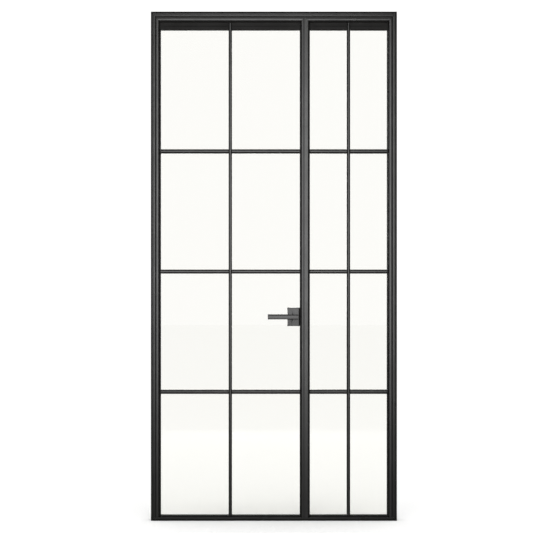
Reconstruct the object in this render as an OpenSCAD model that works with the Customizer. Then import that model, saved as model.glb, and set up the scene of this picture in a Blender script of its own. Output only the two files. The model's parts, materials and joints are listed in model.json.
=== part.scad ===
// Glazed door in a slim metal frame, with a hinged main leaf on the left and a narrow fixed
// sidelight on the right of one mullion. Millimetres, +Z up. The origin is at the bottom
// centre of the frame: the stops face -Y, and the leaf swings away towards +Y.

/* [Overall] */
// Overall width of the frame
door_w = 1203; // [1000:1:1500]
// Overall height of the frame
door_h = 2490; // [2000:10:3000]

/* [Frame section] */
// Face width of the jambs
frame_face = 42; // [39:1:50]
// Face height of the head
head_face = 49; // [39:1:60]
// Depth of the stop, from the front face to its rear face
stop_d = 38; // [30:1:38]
// Wall thickness of the frame section
frame_wall = 2; // [1.5:0.5:3]
// Height of the sill's front upstand
sill_face = 18; // [17:1:26]
// Thickness of the sill's rear ledge
sill_base = 3; // [2:0.5:5]
// How far a stop laps over the sash behind it
rebate_lap = 12; // [11:1:14]
// Gap between the edge of a sash and the rebate
sash_gap = 3; // [2.5:0.5:4]
// Gap between a stop and the face of the sash, filled by the seal
seal_gap = 4; // [3:0.5:6]

/* [Mullion] */
// Place of the mullion's centre line, from the middle of the frame
mullion_x = 152; // [50:1:200]
// Face width of the mullion
mullion_face = 42; // [42:1:56]
// Wall thickness of the mullion's rear web
web_wall = 3.5; // [3:0.5:4]

/* [Sash] */
// Depth of the sash section, front to rear
sash_d = 38; // [38:1:46]
// Width of a stile that shows past the stop
stile_sight = 3.5; // [2:0.5:20]
// Height of a top rail that shows below the head
top_sight = 36; // [36:1:60]
// Height of a bottom rail that shows above the sill
bottom_sight = 5; // [5:1:40]
// Wall thickness of the sash section
sash_wall = 2; // [1.5:0.5:2]
// Wall thickness of the sash section at its outer edge
sash_back = 4; // [4:0.5:5]
// Thickness of the glass
glass_t = 8; // [6:1:10]
// Thickness of each glazing gasket
gasket_t = 3; // [2:0.5:4]
// Depth of the pocket that the glass stands in
pocket_d = 10; // [9:1:10]
// Room between the edge of the glass and the bottom of its pocket
glass_play = 2; // [1:0.5:3]

/* [Grille] */
// Width of the upright glazing bars
bar_w = 16; // [12:1:30]
// Height of the cross bars
cross_w = 20; // [12:1:30]
// How far the front bars stand off the glass
front_bar_t = 20; // [18:1:22]
// How far the rear bars stand off the glass
rear_bar_t = 14; // [8:1:14]
// Number of rows of panes
rows = 4; // [2:1:6]
// How far the cross bars sit above an even split of the glass
row_lift = 4.5; // [0:0.5:10]

/* [Lock] */
// Wanted height of the lever's axis; it moves as far as the nearest cross bar asks
lever_z = 996; // [900:1:1150]
// Width of a lock cover
cover_w = 56; // [50:1:70]
// Height of a lock cover
cover_h = 90; // [86:1:120]
// Wall thickness of a lock cover
cover_wall = 1.5; // [1:0.5:2.5]
// Gap between the cover and the lock stile
cover_gap = 4.5; // [3:0.5:8]
// Length of the lever
lever_l = 150; // [110:1:160]
// Length of the lever past its axis, towards the mullion
lever_tail = 25; // [18:1:25]
// Height of the lever's face
lever_face = 22; // [18:0.5:28]
// Thickness of the lever
lever_t = 12; // [8:1:14]
// Gap between the lever and the lock cover
lever_reach = 40; // [30:1:42]
// Diameter of the lever's neck
neck_d = 20; // [16:1:22]
// Side of the square spindle
spindle_w = 8; // [7:1:9]
// Travel of the latch bolt
bolt_travel = 10.5; // [9:0.5:10.5]
// Thickness of the latch bolt
bolt_t = 10; // [8:0.5:10]
// Height of the latch bolt
bolt_h = 14; // [10:1:18]

/* [Hinges] */
// Height of a hinge
hinge_h = 100; // [80:5:140]
// Radius of a hinge barrel
barrel_r = 7; // [6:0.5:7]
// Diameter of a hinge pin
pin_d = 8; // [6:0.5:8]
// Thickness of a hinge wing
wing_t = 3; // [2:0.5:3]
// Distance of the end hinges' centres from the ends of the leaf
hinge_inset = 240; // [150:10:400]

/* [Fixings] */
// Diameter of the wall-fixing holes through the jambs
fixing_d = 8.5; // [6:0.5:12]
// Height of the lowest wall-fixing hole
fixing_z = 195; // [150:5:300]

/* [Hidden] */
$fn = 48;

black = "#1c1b19";
rubber_black = "#101010";
steel = "#9a9c9e";
glass_tint = [0.8, 0.9, 0.87, 0.35];

// Cutting overlap past a face, so that no cut ends level with it
over = 1;
// Running clearance of a pin, a hub or a follower, on the radius
run_gap = 0.05;
// Clearance of a part that slides or drops into place, on each side
slip_gap = 0.3;

// Frame planes: the frame is as deep as its stop, the seal and the sash together
frame_d = stop_d + seal_gap + sash_d;
half_w = door_w / 2;
front_y = -frame_d / 2;
rear_y = frame_d / 2;
stop_y = front_y + stop_d;
sash_y = stop_y + seal_gap;
sash_rear_y = sash_y + sash_d;
head_z = door_h - head_face;
rebate_w = frame_face - rebate_lap - sash_gap;
head_rebate = head_face - rebate_lap - sash_gap;
sash_top_z = head_z + rebate_lap;
sash_bottom_z = sill_base + sash_gap;
mullion_web = mullion_face - 2 * (rebate_lap + sash_gap);
web_x = mullion_x - mullion_web / 2;

// Relief of the frame's front face: sloping lip, narrow land, groove and raised band
lip_w = 8;
lip_drop = 8;
land_w = 5;
land_drop = 2;
groove_w = 7;
groove_drop = 7;
groove_lean = 1;
band_bevel = 2;
band_crown = 1;
edge_bevel = 5;
edge_drop = 6;
chamber_v = 10;
stop_wall = 3;
band_u = lip_w + land_w + groove_w + band_bevel;

// Openings between the stops: main bay and side bay
main_x0 = -half_w + frame_face;
main_x1 = mullion_x - mullion_face / 2;
side_x0 = mullion_x + mullion_face / 2;
side_x1 = half_w - frame_face;

// Sash sizes
stile_w = rebate_lap + stile_sight;
top_rail_h = rebate_lap + top_sight;
sash_z0 = sill_face + bottom_sight;
sash_z1 = head_z - top_sight;
bottom_rail_h = sash_z0 - sash_bottom_z;
glass_mid = sash_y + sash_d / 2;
glass_y0 = glass_mid - glass_t / 2;
glass_y1 = glass_mid + glass_t / 2;
pocket_y0 = glass_y0 - gasket_t;
pocket_y1 = glass_y1 + gasket_t;
glass_bite = pocket_d - glass_play;
port = 8;
port_l = 30;
port_v = sash_d - sash_wall - port / 2;

// Grille sizes
bar_shoulder = 4;
bar_flat = 2.5;
row_pitch = (sash_z1 - sash_z0 - cross_w) / rows;
row_mid = (sash_z0 + sash_z1) / 2 + row_lift;
row_zs = [for (i = [1 : rows - 1]) row_mid + (i - rows / 2) * row_pitch];
row_ends = concat([sash_z0 - cross_w / 2], row_zs, [sash_z1 + cross_w / 2]);
bar_top_gap = 2;
bead_h = 13.5;
bead_t = 3;
bead_lift = 3;
bead_short = 23;

// Lock height: the wanted one, moved so that the cover stays inside one row of panes
lock_bar_gap = 10;
lock_half = (cross_w + cover_h) / 2 + lock_bar_gap;
lock_row = len([for (z = row_zs) if (z < lever_z) z]);
lock_z = min(max(lever_z, row_ends[lock_row] + lock_half), row_ends[lock_row + 1] - lock_half);

// Lock sizes
lock_x1 = main_x1 - stile_sight;
cover_x1 = lock_x1 - cover_gap;
cover_x0 = cover_x1 - cover_w;
hub_x = (cover_x0 + cover_x1) / 2;
leaf_edge_x = main_x1 + rebate_lap;
cover_lap = 4;
case_room = 1.5;
case_x0 = cover_x0 + cover_lap + case_room;
case_x1 = leaf_edge_x - sash_back - slip_gap;
case_gap = 0.5;
case_hz = cover_h / 2 - cover_lap - case_room - case_gap;
case_y0 = pocket_y0 + case_gap;
case_y1 = pocket_y1 - case_gap;
case_wall = 1.2;
notch_r = 5;
cover_d = 13;
cover_y0 = glass_y0 - cover_d;
cover_y1 = glass_y1 + cover_d;
strip_t = 8;
neck_end_y = case_y0 - case_gap;
lever_y1 = cover_y0 - lever_reach;
lever_y0 = lever_y1 - lever_t;
socket_floor = 6;
spindle_play = 1;
follower_r = 12;
follower_hub_r = 8;
arm_r = 17;
arm_w = 6;
hook_play = 1.8;
hook_w = 4;
tail_z0 = 18.5;
tail_z1 = 23.5;
hook_z0 = 12.5;
bolt_web_w = 6;
bolt_stem = 22;
bolt_x0 = leaf_edge_x - bolt_stem;
bolt_x1 = leaf_edge_x + bolt_travel;
bolt_nose = 1;
plate_t = 1.5;
plate_w = 20;
faceplate_h = 120;
strike_h = 80;
strike_screw_z = 30;
faceplate_screw_z = 52;
cover_screw_z = 32;
screw_r = 2;
screw_head_r = 3.6;
screw_head_t = 1.6;
stile_bite = 4;
jamb_bite = 9;

// Hinge sizes
hinge_x = -half_w + rebate_w + sash_gap / 2;
leaf_x0 = main_x0 - rebate_lap;
hinge_lift = 1;
hinge_y = sash_rear_y + barrel_r + hinge_lift;
frame_wing_w = 22;
wing_margin = 1;
wing_screw_in = 6;
knuckle_h = hinge_h / 3;
knuckle_gap = 0.3;
swing_gap = 0.8;
pin_head_r = 6;
pin_head_t = 3;
hinge_zs = [sash_bottom_z + hinge_inset, (sash_bottom_z + sash_top_z) / 2,
    sash_top_z - hinge_inset];
hinge_screw_pitch = 0.36 * hinge_h;
hinge_screw_zs = [-hinge_screw_pitch, 0, hinge_screw_pitch];

// Fixing holes, one row in each jamb
fixing_n = 4;
fixing_pitch = (door_h - 2 * fixing_z) / (fixing_n - 1);
fixing_y = (stop_y + rear_y) / 2;

// ---- Helpers ----

// Box between two corners
module block(a, b) {
    translate(a) cube(b - a);
}

// Extrusion upwards between two heights
module upright(z0, z1) {
    translate([0, 0, z0]) linear_extrude(z1 - z0) children();
}

// Extrusion along X: the drawing's x becomes Y, and its y becomes Z
module level(x0, x1) {
    translate([x0, 0, 0]) rotate([90, 0, 90]) linear_extrude(x1 - x0) children();
}

// Extrusion through the depth: the drawing's x stays X, and its y becomes Z
module through(y0, y1) {
    translate([0, y1, 0]) rotate([90, 0, 0]) linear_extrude(y1 - y0) children();
}

// Rod along Y
module rod_y(x, z, y0, y1, r) {
    translate([x, y0, z]) rotate([-90, 0, 0]) cylinder(r = r, h = y1 - y0);
}

// Rod along X
module rod_x(y, z, x0, x1, r) {
    translate([x0, y, z]) rotate([0, 90, 0]) cylinder(r = r, h = x1 - x0);
}

// Screw pointing along -Y from a face, with a flat head let in
module screw_back(x, z, y, l) {
    rod_y(x, z, y - screw_head_t, y, screw_head_r);
    rod_y(x, z, y - l, y - screw_head_t, screw_r);
}

// Room for such a screw, with its head let in
module screw_back_hole(x, z, y, l) {
    rod_y(x, z, y - screw_head_t, y + over, screw_head_r);
    rod_y(x, z, y - l - over, y, screw_r);
}

// Screw along X from a face at x towards dir, with a flat head let in
module screw_side(x, y, z, dir, l) {
    translate([x, y, z]) rotate([0, 90 * dir, 0]) {
        cylinder(r = screw_head_r, h = screw_head_t);
        translate([0, 0, screw_head_t]) cylinder(r = screw_r, h = l - screw_head_t);
    }
}

// Room for such a screw
module screw_side_hole(x, y, z, dir, l) {
    translate([x, y, z]) rotate([0, 90 * dir, 0]) {
        translate([0, 0, -over]) cylinder(r = screw_head_r, h = screw_head_t + over);
        cylinder(r = screw_r, h = l + over);
    }
}

// ---- Frame ----

// Section of a jamb or the head: u from the outer edge, v from the front. The relief of the
// front spreads with the face, so that the two meet in a clean mitre.
module frame_section(face) {
    k = face / frame_face;
    rebate = face - rebate_lap - sash_gap;
    band_end = face - k * edge_bevel;
    difference() {
        polygon([[0, frame_d], [0, lip_drop], [k * lip_w, land_drop],
            [k * (lip_w + land_w), land_drop], [k * (lip_w + land_w + groove_lean), groove_drop],
            [k * (band_u - band_bevel), groove_drop], [k * band_u, band_crown],
            [(k * band_u + band_end) / 2, 0], [band_end, band_crown], [face, edge_drop],
            [face, stop_d], [rebate, stop_d], [rebate, frame_d]]);
        translate([stop_wall, chamber_v])
            square([face - 2 * stop_wall, stop_d - stop_wall - chamber_v]);
        translate([frame_wall, stop_d])
            square([rebate - 2 * frame_wall, frame_d - stop_d - frame_wall]);
    }
}

// Wedge that the head fills, mitred at both ends
module head_wedge() {
    through(front_y - over, rear_y + over)
        polygon([[-half_w - over, door_h + over], [half_w + over, door_h + over],
            [half_w - frame_face, head_z], [frame_face - half_w, head_z]]);
}

// Room that a sill with mitred ends fills, from the floor up to height h
module sill_strip(h, y0, y1) {
    through(y0, y1)
        polygon([[-half_w - over, -over], [-half_w + h, h], [half_w - h, h],
            [half_w + over, -over]]);
}

module sill_room() {
    sill_strip(sill_face, front_y - over, stop_y);
    sill_strip(sill_base, stop_y - over, rear_y + over);
}

// Outline of the mullion's front part, pointed into the head and the sill
module mullion_outline() {
    w = mullion_face / 2;
    foot = sill_face - lip_w;
    translate([mullion_x, 0])
        polygon([[-w, sill_face], [foot - w, lip_w], [w - foot, lip_w], [w, sill_face],
            [w, head_z], [0, head_z + w], [-w, head_z]]);
}

module mullion_front_room() {
    through(front_y - over, stop_y) mullion_outline();
}

// Row of wall-fixing holes through both walls of the left jamb
module fixing_holes() {
    for (i = [0 : fixing_n - 1])
        rod_x(fixing_y, fixing_z + i * fixing_pitch, -half_w - over, -half_w + rebate_w + over,
            fixing_d / 2);
}

module jamb() {
    difference() {
        upright(0, door_h) translate([-half_w, front_y]) frame_section(frame_face);
        head_wedge();
        sill_room();
        fixing_holes();
    }
}

module frame_jamb_left() {
    color(black) difference() {
        jamb();
        for (z = hinge_zs) hinge_frame_screw_holes(z);
    }
}

module frame_jamb_right() {
    color(black) difference() {
        mirror([1, 0, 0]) jamb();
        side_plate_screw_holes();
    }
}

module frame_head() {
    color(black) difference() {
        intersection() {
            level(-half_w, half_w) translate([front_y, door_h])
                rotate(-90) frame_section(head_face);
            head_wedge();
        }
        mullion_front_room();
    }
}

module frame_sill() {
    lip_back = 6;
    lip_set = 2;
    lip_rise = 1;
    top_bevel = 3;
    color(black) difference() {
        intersection() {
            level(-half_w, half_w) translate([front_y, 0]) difference() {
                polygon([[lip_back, 0], [lip_set, lip_w], [0, lip_w + lip_rise],
                    [0, sill_face - top_bevel / 2], [top_bevel, sill_face],
                    [stop_d, sill_face], [stop_d, sill_base], [frame_d, sill_base],
                    [frame_d, 0]]);
                translate([chamber_v, stop_wall])
                    square([stop_d - chamber_v - stop_wall, sill_face - 2 * stop_wall]);
            }
            sill_room();
        }
        mullion_front_room();
    }
}

// Section of the mullion: x from its centre line, v from the front
module mullion_section() {
    w = mullion_face / 2;
    shoulder = 4;
    crest = w - 10;
    valley = 4;
    valley_drop = 1.5;
    difference() {
        union() {
            polygon([[-w, edge_drop], [shoulder - w, band_crown], [-crest, 0],
                [-valley, valley_drop], [valley, valley_drop], [crest, 0],
                [w - shoulder, band_crown], [w, edge_drop], [w, stop_d], [-w, stop_d]]);
            translate([-mullion_web / 2, stop_d - over])
                square([mullion_web, frame_d - stop_d + over]);
        }
        translate([stop_wall - w, chamber_v])
            square([mullion_face - 2 * stop_wall, stop_d - stop_wall - chamber_v]);
        translate([web_wall - mullion_web / 2, stop_d])
            square([mullion_web - 2 * web_wall, frame_d - stop_d - frame_wall]);
    }
}

module mullion() {
    web_top = head_z + rebate_lap + sash_gap;
    color(black) difference() {
        intersection() {
            upright(sill_base, web_top + mullion_face) translate([mullion_x, front_y])
                mullion_section();
            union() {
                mullion_front_room();
                block([web_x - over, stop_y, sill_base],
                    [web_x + mullion_web + over, rear_y + over, web_top]);
            }
        }
        strike_room();
        side_plate_screw_holes();
    }
}

// One corner cleat: a leg up the jamb and a leg along the head. Each leg fits both its own
// chamber and the other one as far as the mitre.
module top_cleat() {
    leg = 60;
    slope = head_face / frame_face;
    u0 = frame_wall + slip_gap;
    u1 = min(rebate_w - frame_wall, (head_rebate - frame_wall) / slope) - slip_gap;
    drop = min(head_rebate - frame_wall, slope * (rebate_w - frame_wall)) - slip_gap;
    y0 = stop_y + slip_gap;
    y1 = rear_y - frame_wall - slip_gap;
    union() {
        block([u0 - half_w, y0, door_h - u0 - leg], [u1 - half_w, y1, door_h - u0]);
        block([u0 - half_w, y0, door_h - drop], [u0 - half_w + leg, y1, door_h - u0]);
    }
}

// One foot block, standing on the sill inside the jamb
module foot_block() {
    leg = 60;
    block([frame_wall + slip_gap - half_w, stop_y + slip_gap, frame_wall + sill_base],
        [rebate_w - frame_wall - slip_gap - half_w, rear_y - frame_wall - slip_gap, leg]);
}

module frame_corner_cleats() {
    color(steel) for (side = [0, 1]) mirror([side, 0, 0]) {
        top_cleat();
        foot_block();
    }
}

// Four strips of weather seal behind the stops round one bay
module stop_seal(x0, x1, y1) {
    in = 2;
    w = rebate_lap - 2 * in;
    z0 = sill_face;
    z1 = head_z;
    a = in;
    b = in + w;
    block([x0 - b, stop_y, z0 - b], [x0 - a, y1, z1 + b]);
    block([x1 + a, stop_y, z0 - b], [x1 + b, y1, z1 + b]);
    block([x0 - a, stop_y, z0 - b], [x1 + a, y1, z0 - a]);
    block([x0 - a, stop_y, z1 + a], [x1 + a, y1, z1 + b]);
}

module frame_seals() {
    color(rubber_black) {
        stop_seal(main_x0, main_x1, sash_y - slip_gap);
        stop_seal(side_x0, side_x1, sash_y);
    }
}

// Opening in the strike plate and the mullion's web, for the latch bolt
module strike_window(x0, x1) {
    room = 1;
    tall_room = 3;
    block([x0, glass_mid - bolt_t / 2 - room, lock_z - bolt_h / 2 - tall_room],
        [x1, glass_mid + bolt_t / 2 + room, lock_z + bolt_h / 2 + tall_room]);
}

module strike_screws(hole) {
    tip = 2;
    for (s = [-1, 1])
        if (hole) screw_side_hole(web_x, glass_mid, lock_z + s * strike_screw_z, 1, web_wall);
        else screw_side(web_x, glass_mid, lock_z + s * strike_screw_z, 1, web_wall + tip);
}

module strike_room() {
    block([web_x - over, glass_mid - plate_w / 2, lock_z - strike_h / 2],
        [web_x + plate_t, glass_mid + plate_w / 2, lock_z + strike_h / 2]);
    strike_window(web_x - over, mullion_x);
    strike_screws(true);
}

module strike_plate() {
    color(steel) difference() {
        block([web_x, glass_mid - plate_w / 2, lock_z - strike_h / 2],
            [web_x + plate_t, glass_mid + plate_w / 2, lock_z + strike_h / 2]);
        strike_window(web_x - over, mullion_x);
        strike_screws(true);
    }
}

module frame_screws() {
    color(steel) {
        strike_screws(false);
        for (z = hinge_zs)
            for (dz = hinge_screw_zs)
                screw_back(frame_screw_x, z + dz, sash_rear_y + wing_t,
                    wing_t + frame_wall + jamb_bite);
        for (z = hinge_zs)
            for (x = [side_plate_x0, side_plate_x1])
                screw_back(x, z, sash_rear_y + side_plate_t,
                    side_plate_t + sash_wall + stile_bite);
        sash_screws(side_x0, side_x1);
    }
}

// ---- Hinges ----

frame_screw_x = hinge_x - frame_wing_w + wing_screw_in;
leaf_wing_x1 = leaf_x0 + stile_w - wing_margin;
leaf_screw_x = leaf_wing_x1 - wing_screw_in + wing_margin;

module hinge_frame_screw_holes(z) {
    for (dz = hinge_screw_zs)
        rod_y(frame_screw_x, z + dz, rear_y - frame_wall - over, rear_y + over, screw_r);
}

module hinge_leaf_screw_holes(z) {
    for (dz = hinge_screw_zs)
        rod_y(leaf_screw_x, z + dz, sash_rear_y - sash_wall - over, sash_rear_y + over,
            screw_r);
}

module pin_bore(z0, z1) {
    translate([hinge_x, hinge_y, z0]) cylinder(r = pin_d / 2 + run_gap, h = z1 - z0);
}

// Wing on the frame, with the two outer knuckles
module frame_wing(z) {
    z0 = z - hinge_h / 2;
    z1 = z + hinge_h / 2;
    m0 = z - knuckle_h / 2;
    m1 = z + knuckle_h / 2;
    color(black) difference() {
        union() {
            block([hinge_x - frame_wing_w, sash_rear_y, z0], [hinge_x, sash_rear_y + wing_t, z1]);
            translate([hinge_x, hinge_y, z0]) cylinder(r = barrel_r, h = hinge_h);
        }
        block([hinge_x - barrel_r - swing_gap, sash_rear_y - over, m0 - knuckle_gap],
            [hinge_x + barrel_r + over, hinge_y + barrel_r + over, m1 + knuckle_gap]);
        pin_bore(z0 - over, z1 + over);
        for (dz = hinge_screw_zs)
            screw_back_hole(frame_screw_x, z + dz, sash_rear_y + wing_t, wing_t);
    }
}

// Wing on the leaf, with the middle knuckle
module leaf_wing(z) {
    z0 = z - hinge_h / 2;
    z1 = z + hinge_h / 2;
    m0 = z - knuckle_h / 2 + knuckle_gap;
    m1 = z + knuckle_h / 2 - knuckle_gap;
    color(black) difference() {
        union() {
            block([hinge_x + barrel_r + swing_gap, sash_rear_y, z0],
                [leaf_wing_x1, sash_rear_y + wing_t, z1]);
            block([hinge_x, sash_rear_y, m0], [leaf_wing_x1, sash_rear_y + wing_t, m1]);
            translate([hinge_x, hinge_y, m0]) cylinder(r = barrel_r, h = m1 - m0);
        }
        pin_bore(z0 - over, z1 + over);
        for (dz = hinge_screw_zs)
            screw_back_hole(leaf_screw_x, z + dz, sash_rear_y + wing_t, wing_t);
    }
}

module hinge_pins() {
    color(steel) for (z = hinge_zs) translate([hinge_x, hinge_y, z]) {
        translate([0, 0, -hinge_h / 2 - pin_head_t]) cylinder(d = pin_d, h = hinge_h + pin_head_t);
        translate([0, 0, hinge_h / 2]) cylinder(r = pin_head_r, h = pin_head_t);
    }
}

// ---- Sashes ----

// Section of a sash member of width w: u from its outer edge, v from its front
module sash_section(w) {
    pocket_v = (sash_d - glass_t) / 2 - gasket_t;
    box_v = pocket_v - 2 * sash_wall;
    mid_u = w - pocket_d - 2 * sash_back;
    difference() {
        square([w, sash_d]);
        translate([w - pocket_d, pocket_v]) square([pocket_d + over, glass_t + 2 * gasket_t]);
        for (v = [sash_wall, sash_d - sash_wall - box_v])
            translate([sash_back, v]) square([w - sash_back - sash_wall, box_v]);
        if (mid_u > sash_back)
            translate([sash_back, pocket_v])
                square([mid_u, glass_t + 2 * gasket_t]);
    }
}

// Left stile of a bay that runs from x0 to x1 between the stops
module stile(x0, x1) {
    difference() {
        upright(sash_bottom_z, sash_top_z)
            translate([x0 - rebate_lap, sash_y]) sash_section(stile_w);
        sash_screw_holes(x0, x1);
    }
}

// Right stile: the same, turned about the middle of the bay
module stile_mirrored(x0, x1) {
    translate([x0 + x1, 0, 0]) mirror([1, 0, 0]) stile(x0, x1);
}

// Lug inside a rail's rear box, at both ends, for the corner screws
module rail_ports(x0, x1, z) {
    for (x = [x0 + stile_sight, x1 - stile_sight - port_l])
        block([x, sash_y + port_v - port / 2, z - port / 2],
            [x + port_l, sash_y + port_v + port / 2, z + port / 2]);
}

top_port_z = sash_top_z - sash_back - port / 2;
bottom_port_z = sash_bottom_z + sash_back + port / 2;

module top_rail(x0, x1) {
    difference() {
        union() {
            level(x0 + stile_sight, x1 - stile_sight)
                translate([sash_y, sash_top_z]) rotate(-90) sash_section(top_rail_h);
            rail_ports(x0, x1, top_port_z);
        }
        sash_screw_holes(x0, x1);
    }
}

module bottom_rail(x0, x1) {
    difference() {
        union() {
            level(x0 + stile_sight, x1 - stile_sight) translate([sash_y, sash_bottom_z])
                mirror([1, -1]) sash_section(bottom_rail_h);
            rail_ports(x0, x1, bottom_port_z);
        }
        sash_screw_holes(x0, x1);
    }
}

port_floor = 6;
sash_screw_l = stile_w + port_l - port_floor;

module sash_screws(x0, x1) {
    for (z = [top_port_z, bottom_port_z]) {
        screw_side(x0 - rebate_lap, sash_y + port_v, z, 1, sash_screw_l);
        screw_side(x1 + rebate_lap, sash_y + port_v, z, -1, sash_screw_l);
    }
}

module sash_screw_holes(x0, x1) {
    for (z = [top_port_z, bottom_port_z]) {
        screw_side_hole(x0 - rebate_lap, sash_y + port_v, z, 1, sash_screw_l);
        screw_side_hole(x1 + rebate_lap, sash_y + port_v, z, -1, sash_screw_l);
    }
}

module pane(x0, x1) {
    g = stile_sight - glass_bite;
    block([x0 + g, glass_y0, sash_z0 - glass_bite], [x1 - g, glass_y1, sash_z1 + glass_bite]);
}

// Four strips of gasket between the glass and one side of its pocket
module gasket(x0, x1, y0, y1) {
    a = x0 + stile_sight;
    b = x1 - stile_sight;
    d = glass_bite;
    block([a - d, y0, sash_z0 - d], [a, y1, sash_z1 + d]);
    block([b, y0, sash_z0 - d], [b + d, y1, sash_z1 + d]);
    block([a, y0, sash_z0 - d], [b, y1, sash_z0]);
    block([a, y0, sash_z1], [b, y1, sash_z1 + d]);
}

// Two blocks that the glass stands on
module setting_blocks(x0, x1) {
    l = 60;
    inset = 80;
    for (x = [x0 + inset, x1 - inset - l])
        block([x, glass_y0, sash_z0 - pocket_d], [x + l, glass_y1, sash_z0 - glass_bite]);
}

// Trim strips on the face of the top rail, one on each side of the upright bar
module top_bead(x0, x1) {
    mid = (x0 + x1) / 2;
    z0 = sash_z1 + bead_lift;
    bevel = 1;
    for (x = [[x0 + bead_short, mid - bar_w / 2], [mid + bar_w / 2, x1 - bead_short]])
        level(x[0], x[1])
            polygon([[sash_y, z0], [sash_y, z0 + bead_h], [sash_y - bead_t + bevel, z0 + bead_h],
                [sash_y - bead_t, z0 + bead_h - bevel], [sash_y - bead_t, z0 + bevel],
                [sash_y - bead_t + bevel, z0]]);
}

// Section of a glazing bar of width w that stands t off the glass
module bar_section(w, t) {
    h = w / 2;
    polygon([[-h, 0], [h, 0], [h, t - bar_shoulder], [bar_flat, t], [-bar_flat, t],
        [-h, t - bar_shoulder]]);
}

module front_bar(x0, x1) {
    mid = (x0 + x1) / 2;
    half_y = glass_y0 - front_bar_t / 2;
    difference() {
        upright(sash_z0, head_z - bar_top_gap) translate([mid, glass_y0])
            mirror([0, 1]) bar_section(bar_w, front_bar_t);
        block([mid - bar_w, sash_y, sash_z1], [mid + bar_w, glass_y0 + over, head_z]);
        for (z = row_zs)
            block([mid - bar_w, half_y, z - cross_w / 2], [mid + bar_w, glass_y0 + over,
                z + cross_w / 2]);
    }
}

module front_cross_bars(x0, x1) {
    mid = (x0 + x1) / 2;
    half_y = glass_y0 - front_bar_t / 2;
    for (z = row_zs) difference() {
        level(x0 + stile_sight, x1 - stile_sight) translate([glass_y0, z])
            rotate(90) bar_section(cross_w, front_bar_t);
        block([mid - bar_w / 2, glass_y0 - front_bar_t - over, z - cross_w],
            [mid + bar_w / 2, half_y, z + cross_w]);
    }
}

module rear_bar(x0, x1) {
    mid = (x0 + x1) / 2;
    half_y = glass_y1 + rear_bar_t / 2;
    difference() {
        upright(sash_z0, sash_z1) translate([mid, glass_y1]) bar_section(bar_w, rear_bar_t);
        for (z = row_zs)
            block([mid - bar_w, glass_y1 - over, z - cross_w / 2],
                [mid + bar_w, half_y, z + cross_w / 2]);
    }
}

module rear_cross_bars(x0, x1) {
    mid = (x0 + x1) / 2;
    half_y = glass_y1 + rear_bar_t / 2;
    for (z = row_zs) difference() {
        level(x0 + stile_sight, x1 - stile_sight) translate([glass_y1, z])
            rotate(-90) bar_section(cross_w, rear_bar_t);
        block([mid - bar_w / 2, half_y, z - cross_w],
            [mid + bar_w / 2, glass_y1 + rear_bar_t + over, z + cross_w]);
    }
}

// ---- Sidelight ----

module sidelight_stile_left() {
    color(black) difference() {
        stile(side_x0, side_x1);
        side_plate_screw_holes();
    }
}

module sidelight_stile_right() {
    color(black) difference() {
        stile_mirrored(side_x0, side_x1);
        side_plate_screw_holes();
    }
}

module sidelight_top_rail() { color(black) top_rail(side_x0, side_x1); }
module sidelight_bottom_rail() { color(black) bottom_rail(side_x0, side_x1); }
module sidelight_glass() { color(glass_tint) pane(side_x0, side_x1); }
module sidelight_seal_front() {
    color(rubber_black) gasket(side_x0, side_x1, pocket_y0, glass_y0);
}
module sidelight_seal_rear() {
    color(rubber_black) gasket(side_x0, side_x1, glass_y1, pocket_y1);
}
module sidelight_setting_blocks() { color(rubber_black) setting_blocks(side_x0, side_x1); }
module sidelight_top_bead() { color(black) top_bead(side_x0, side_x1); }
module sidelight_front_bar() { color(black) front_bar(side_x0, side_x1); }
module sidelight_front_cross_bars() { color(black) front_cross_bars(side_x0, side_x1); }
module sidelight_rear_bar() { color(black) rear_bar(side_x0, side_x1); }
module sidelight_rear_cross_bars() { color(black) rear_cross_bars(side_x0, side_x1); }

// Packers that centre the sidelight in its rebate
module sidelight_packers() {
    l = 40;
    set_in = 8;
    y0 = sash_y + set_in;
    y1 = sash_rear_y - set_in;
    a = side_x0 - rebate_lap;
    b = side_x1 + rebate_lap;
    color(rubber_black) {
        for (z = hinge_zs) {
            block([a - sash_gap, y0, z - l / 2], [a, y1, z + l / 2]);
            block([b, y0, z - l / 2], [b + sash_gap, y1, z + l / 2]);
        }
        for (x = [a + l, b - 2 * l]) {
            block([x, y0, sash_bottom_z - sash_gap], [x + l, y1, sash_bottom_z]);
            block([x, y0, sash_top_z], [x + l, y1, sash_top_z + sash_gap]);
        }
    }
}

side_plate_t = 2;
side_plate_h = 30;
side_plate_in = 7;
side_plate_x0 = side_x0 - rebate_lap + side_plate_in;
side_plate_x1 = side_x1 + rebate_lap - side_plate_in;
side_plate_frame_x1 = side_x1 + rebate_lap + sash_gap + side_plate_in;

// Screw holes in the stiles, the mullion or the jamb behind the fixing plates
module side_plate_screw_holes() {
    for (z = hinge_zs)
        for (x = [side_plate_x0, side_plate_x1])
            rod_y(x, z, sash_rear_y - sash_wall - over, sash_rear_y + over, screw_r);
}

// Plates behind the sidelight that hold its stiles against the stops
module sidelight_fixing_plates() {
    reach = 7;
    inner_reach = 6;
    color(black) difference() {
        for (z = hinge_zs) {
            block([mullion_x, sash_rear_y, z - side_plate_h / 2],
                [side_plate_x0 + inner_reach, sash_rear_y + side_plate_t,
                    z + side_plate_h / 2]);
            block([side_plate_x1 - inner_reach, sash_rear_y, z - side_plate_h / 2],
                [side_plate_frame_x1 + reach, sash_rear_y + side_plate_t,
                    z + side_plate_h / 2]);
        }
        for (z = hinge_zs)
            for (x = [side_plate_x0, side_plate_x1])
                screw_back_hole(x, z, sash_rear_y + side_plate_t, side_plate_t);
    }
}

// ---- Leaf ----

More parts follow.
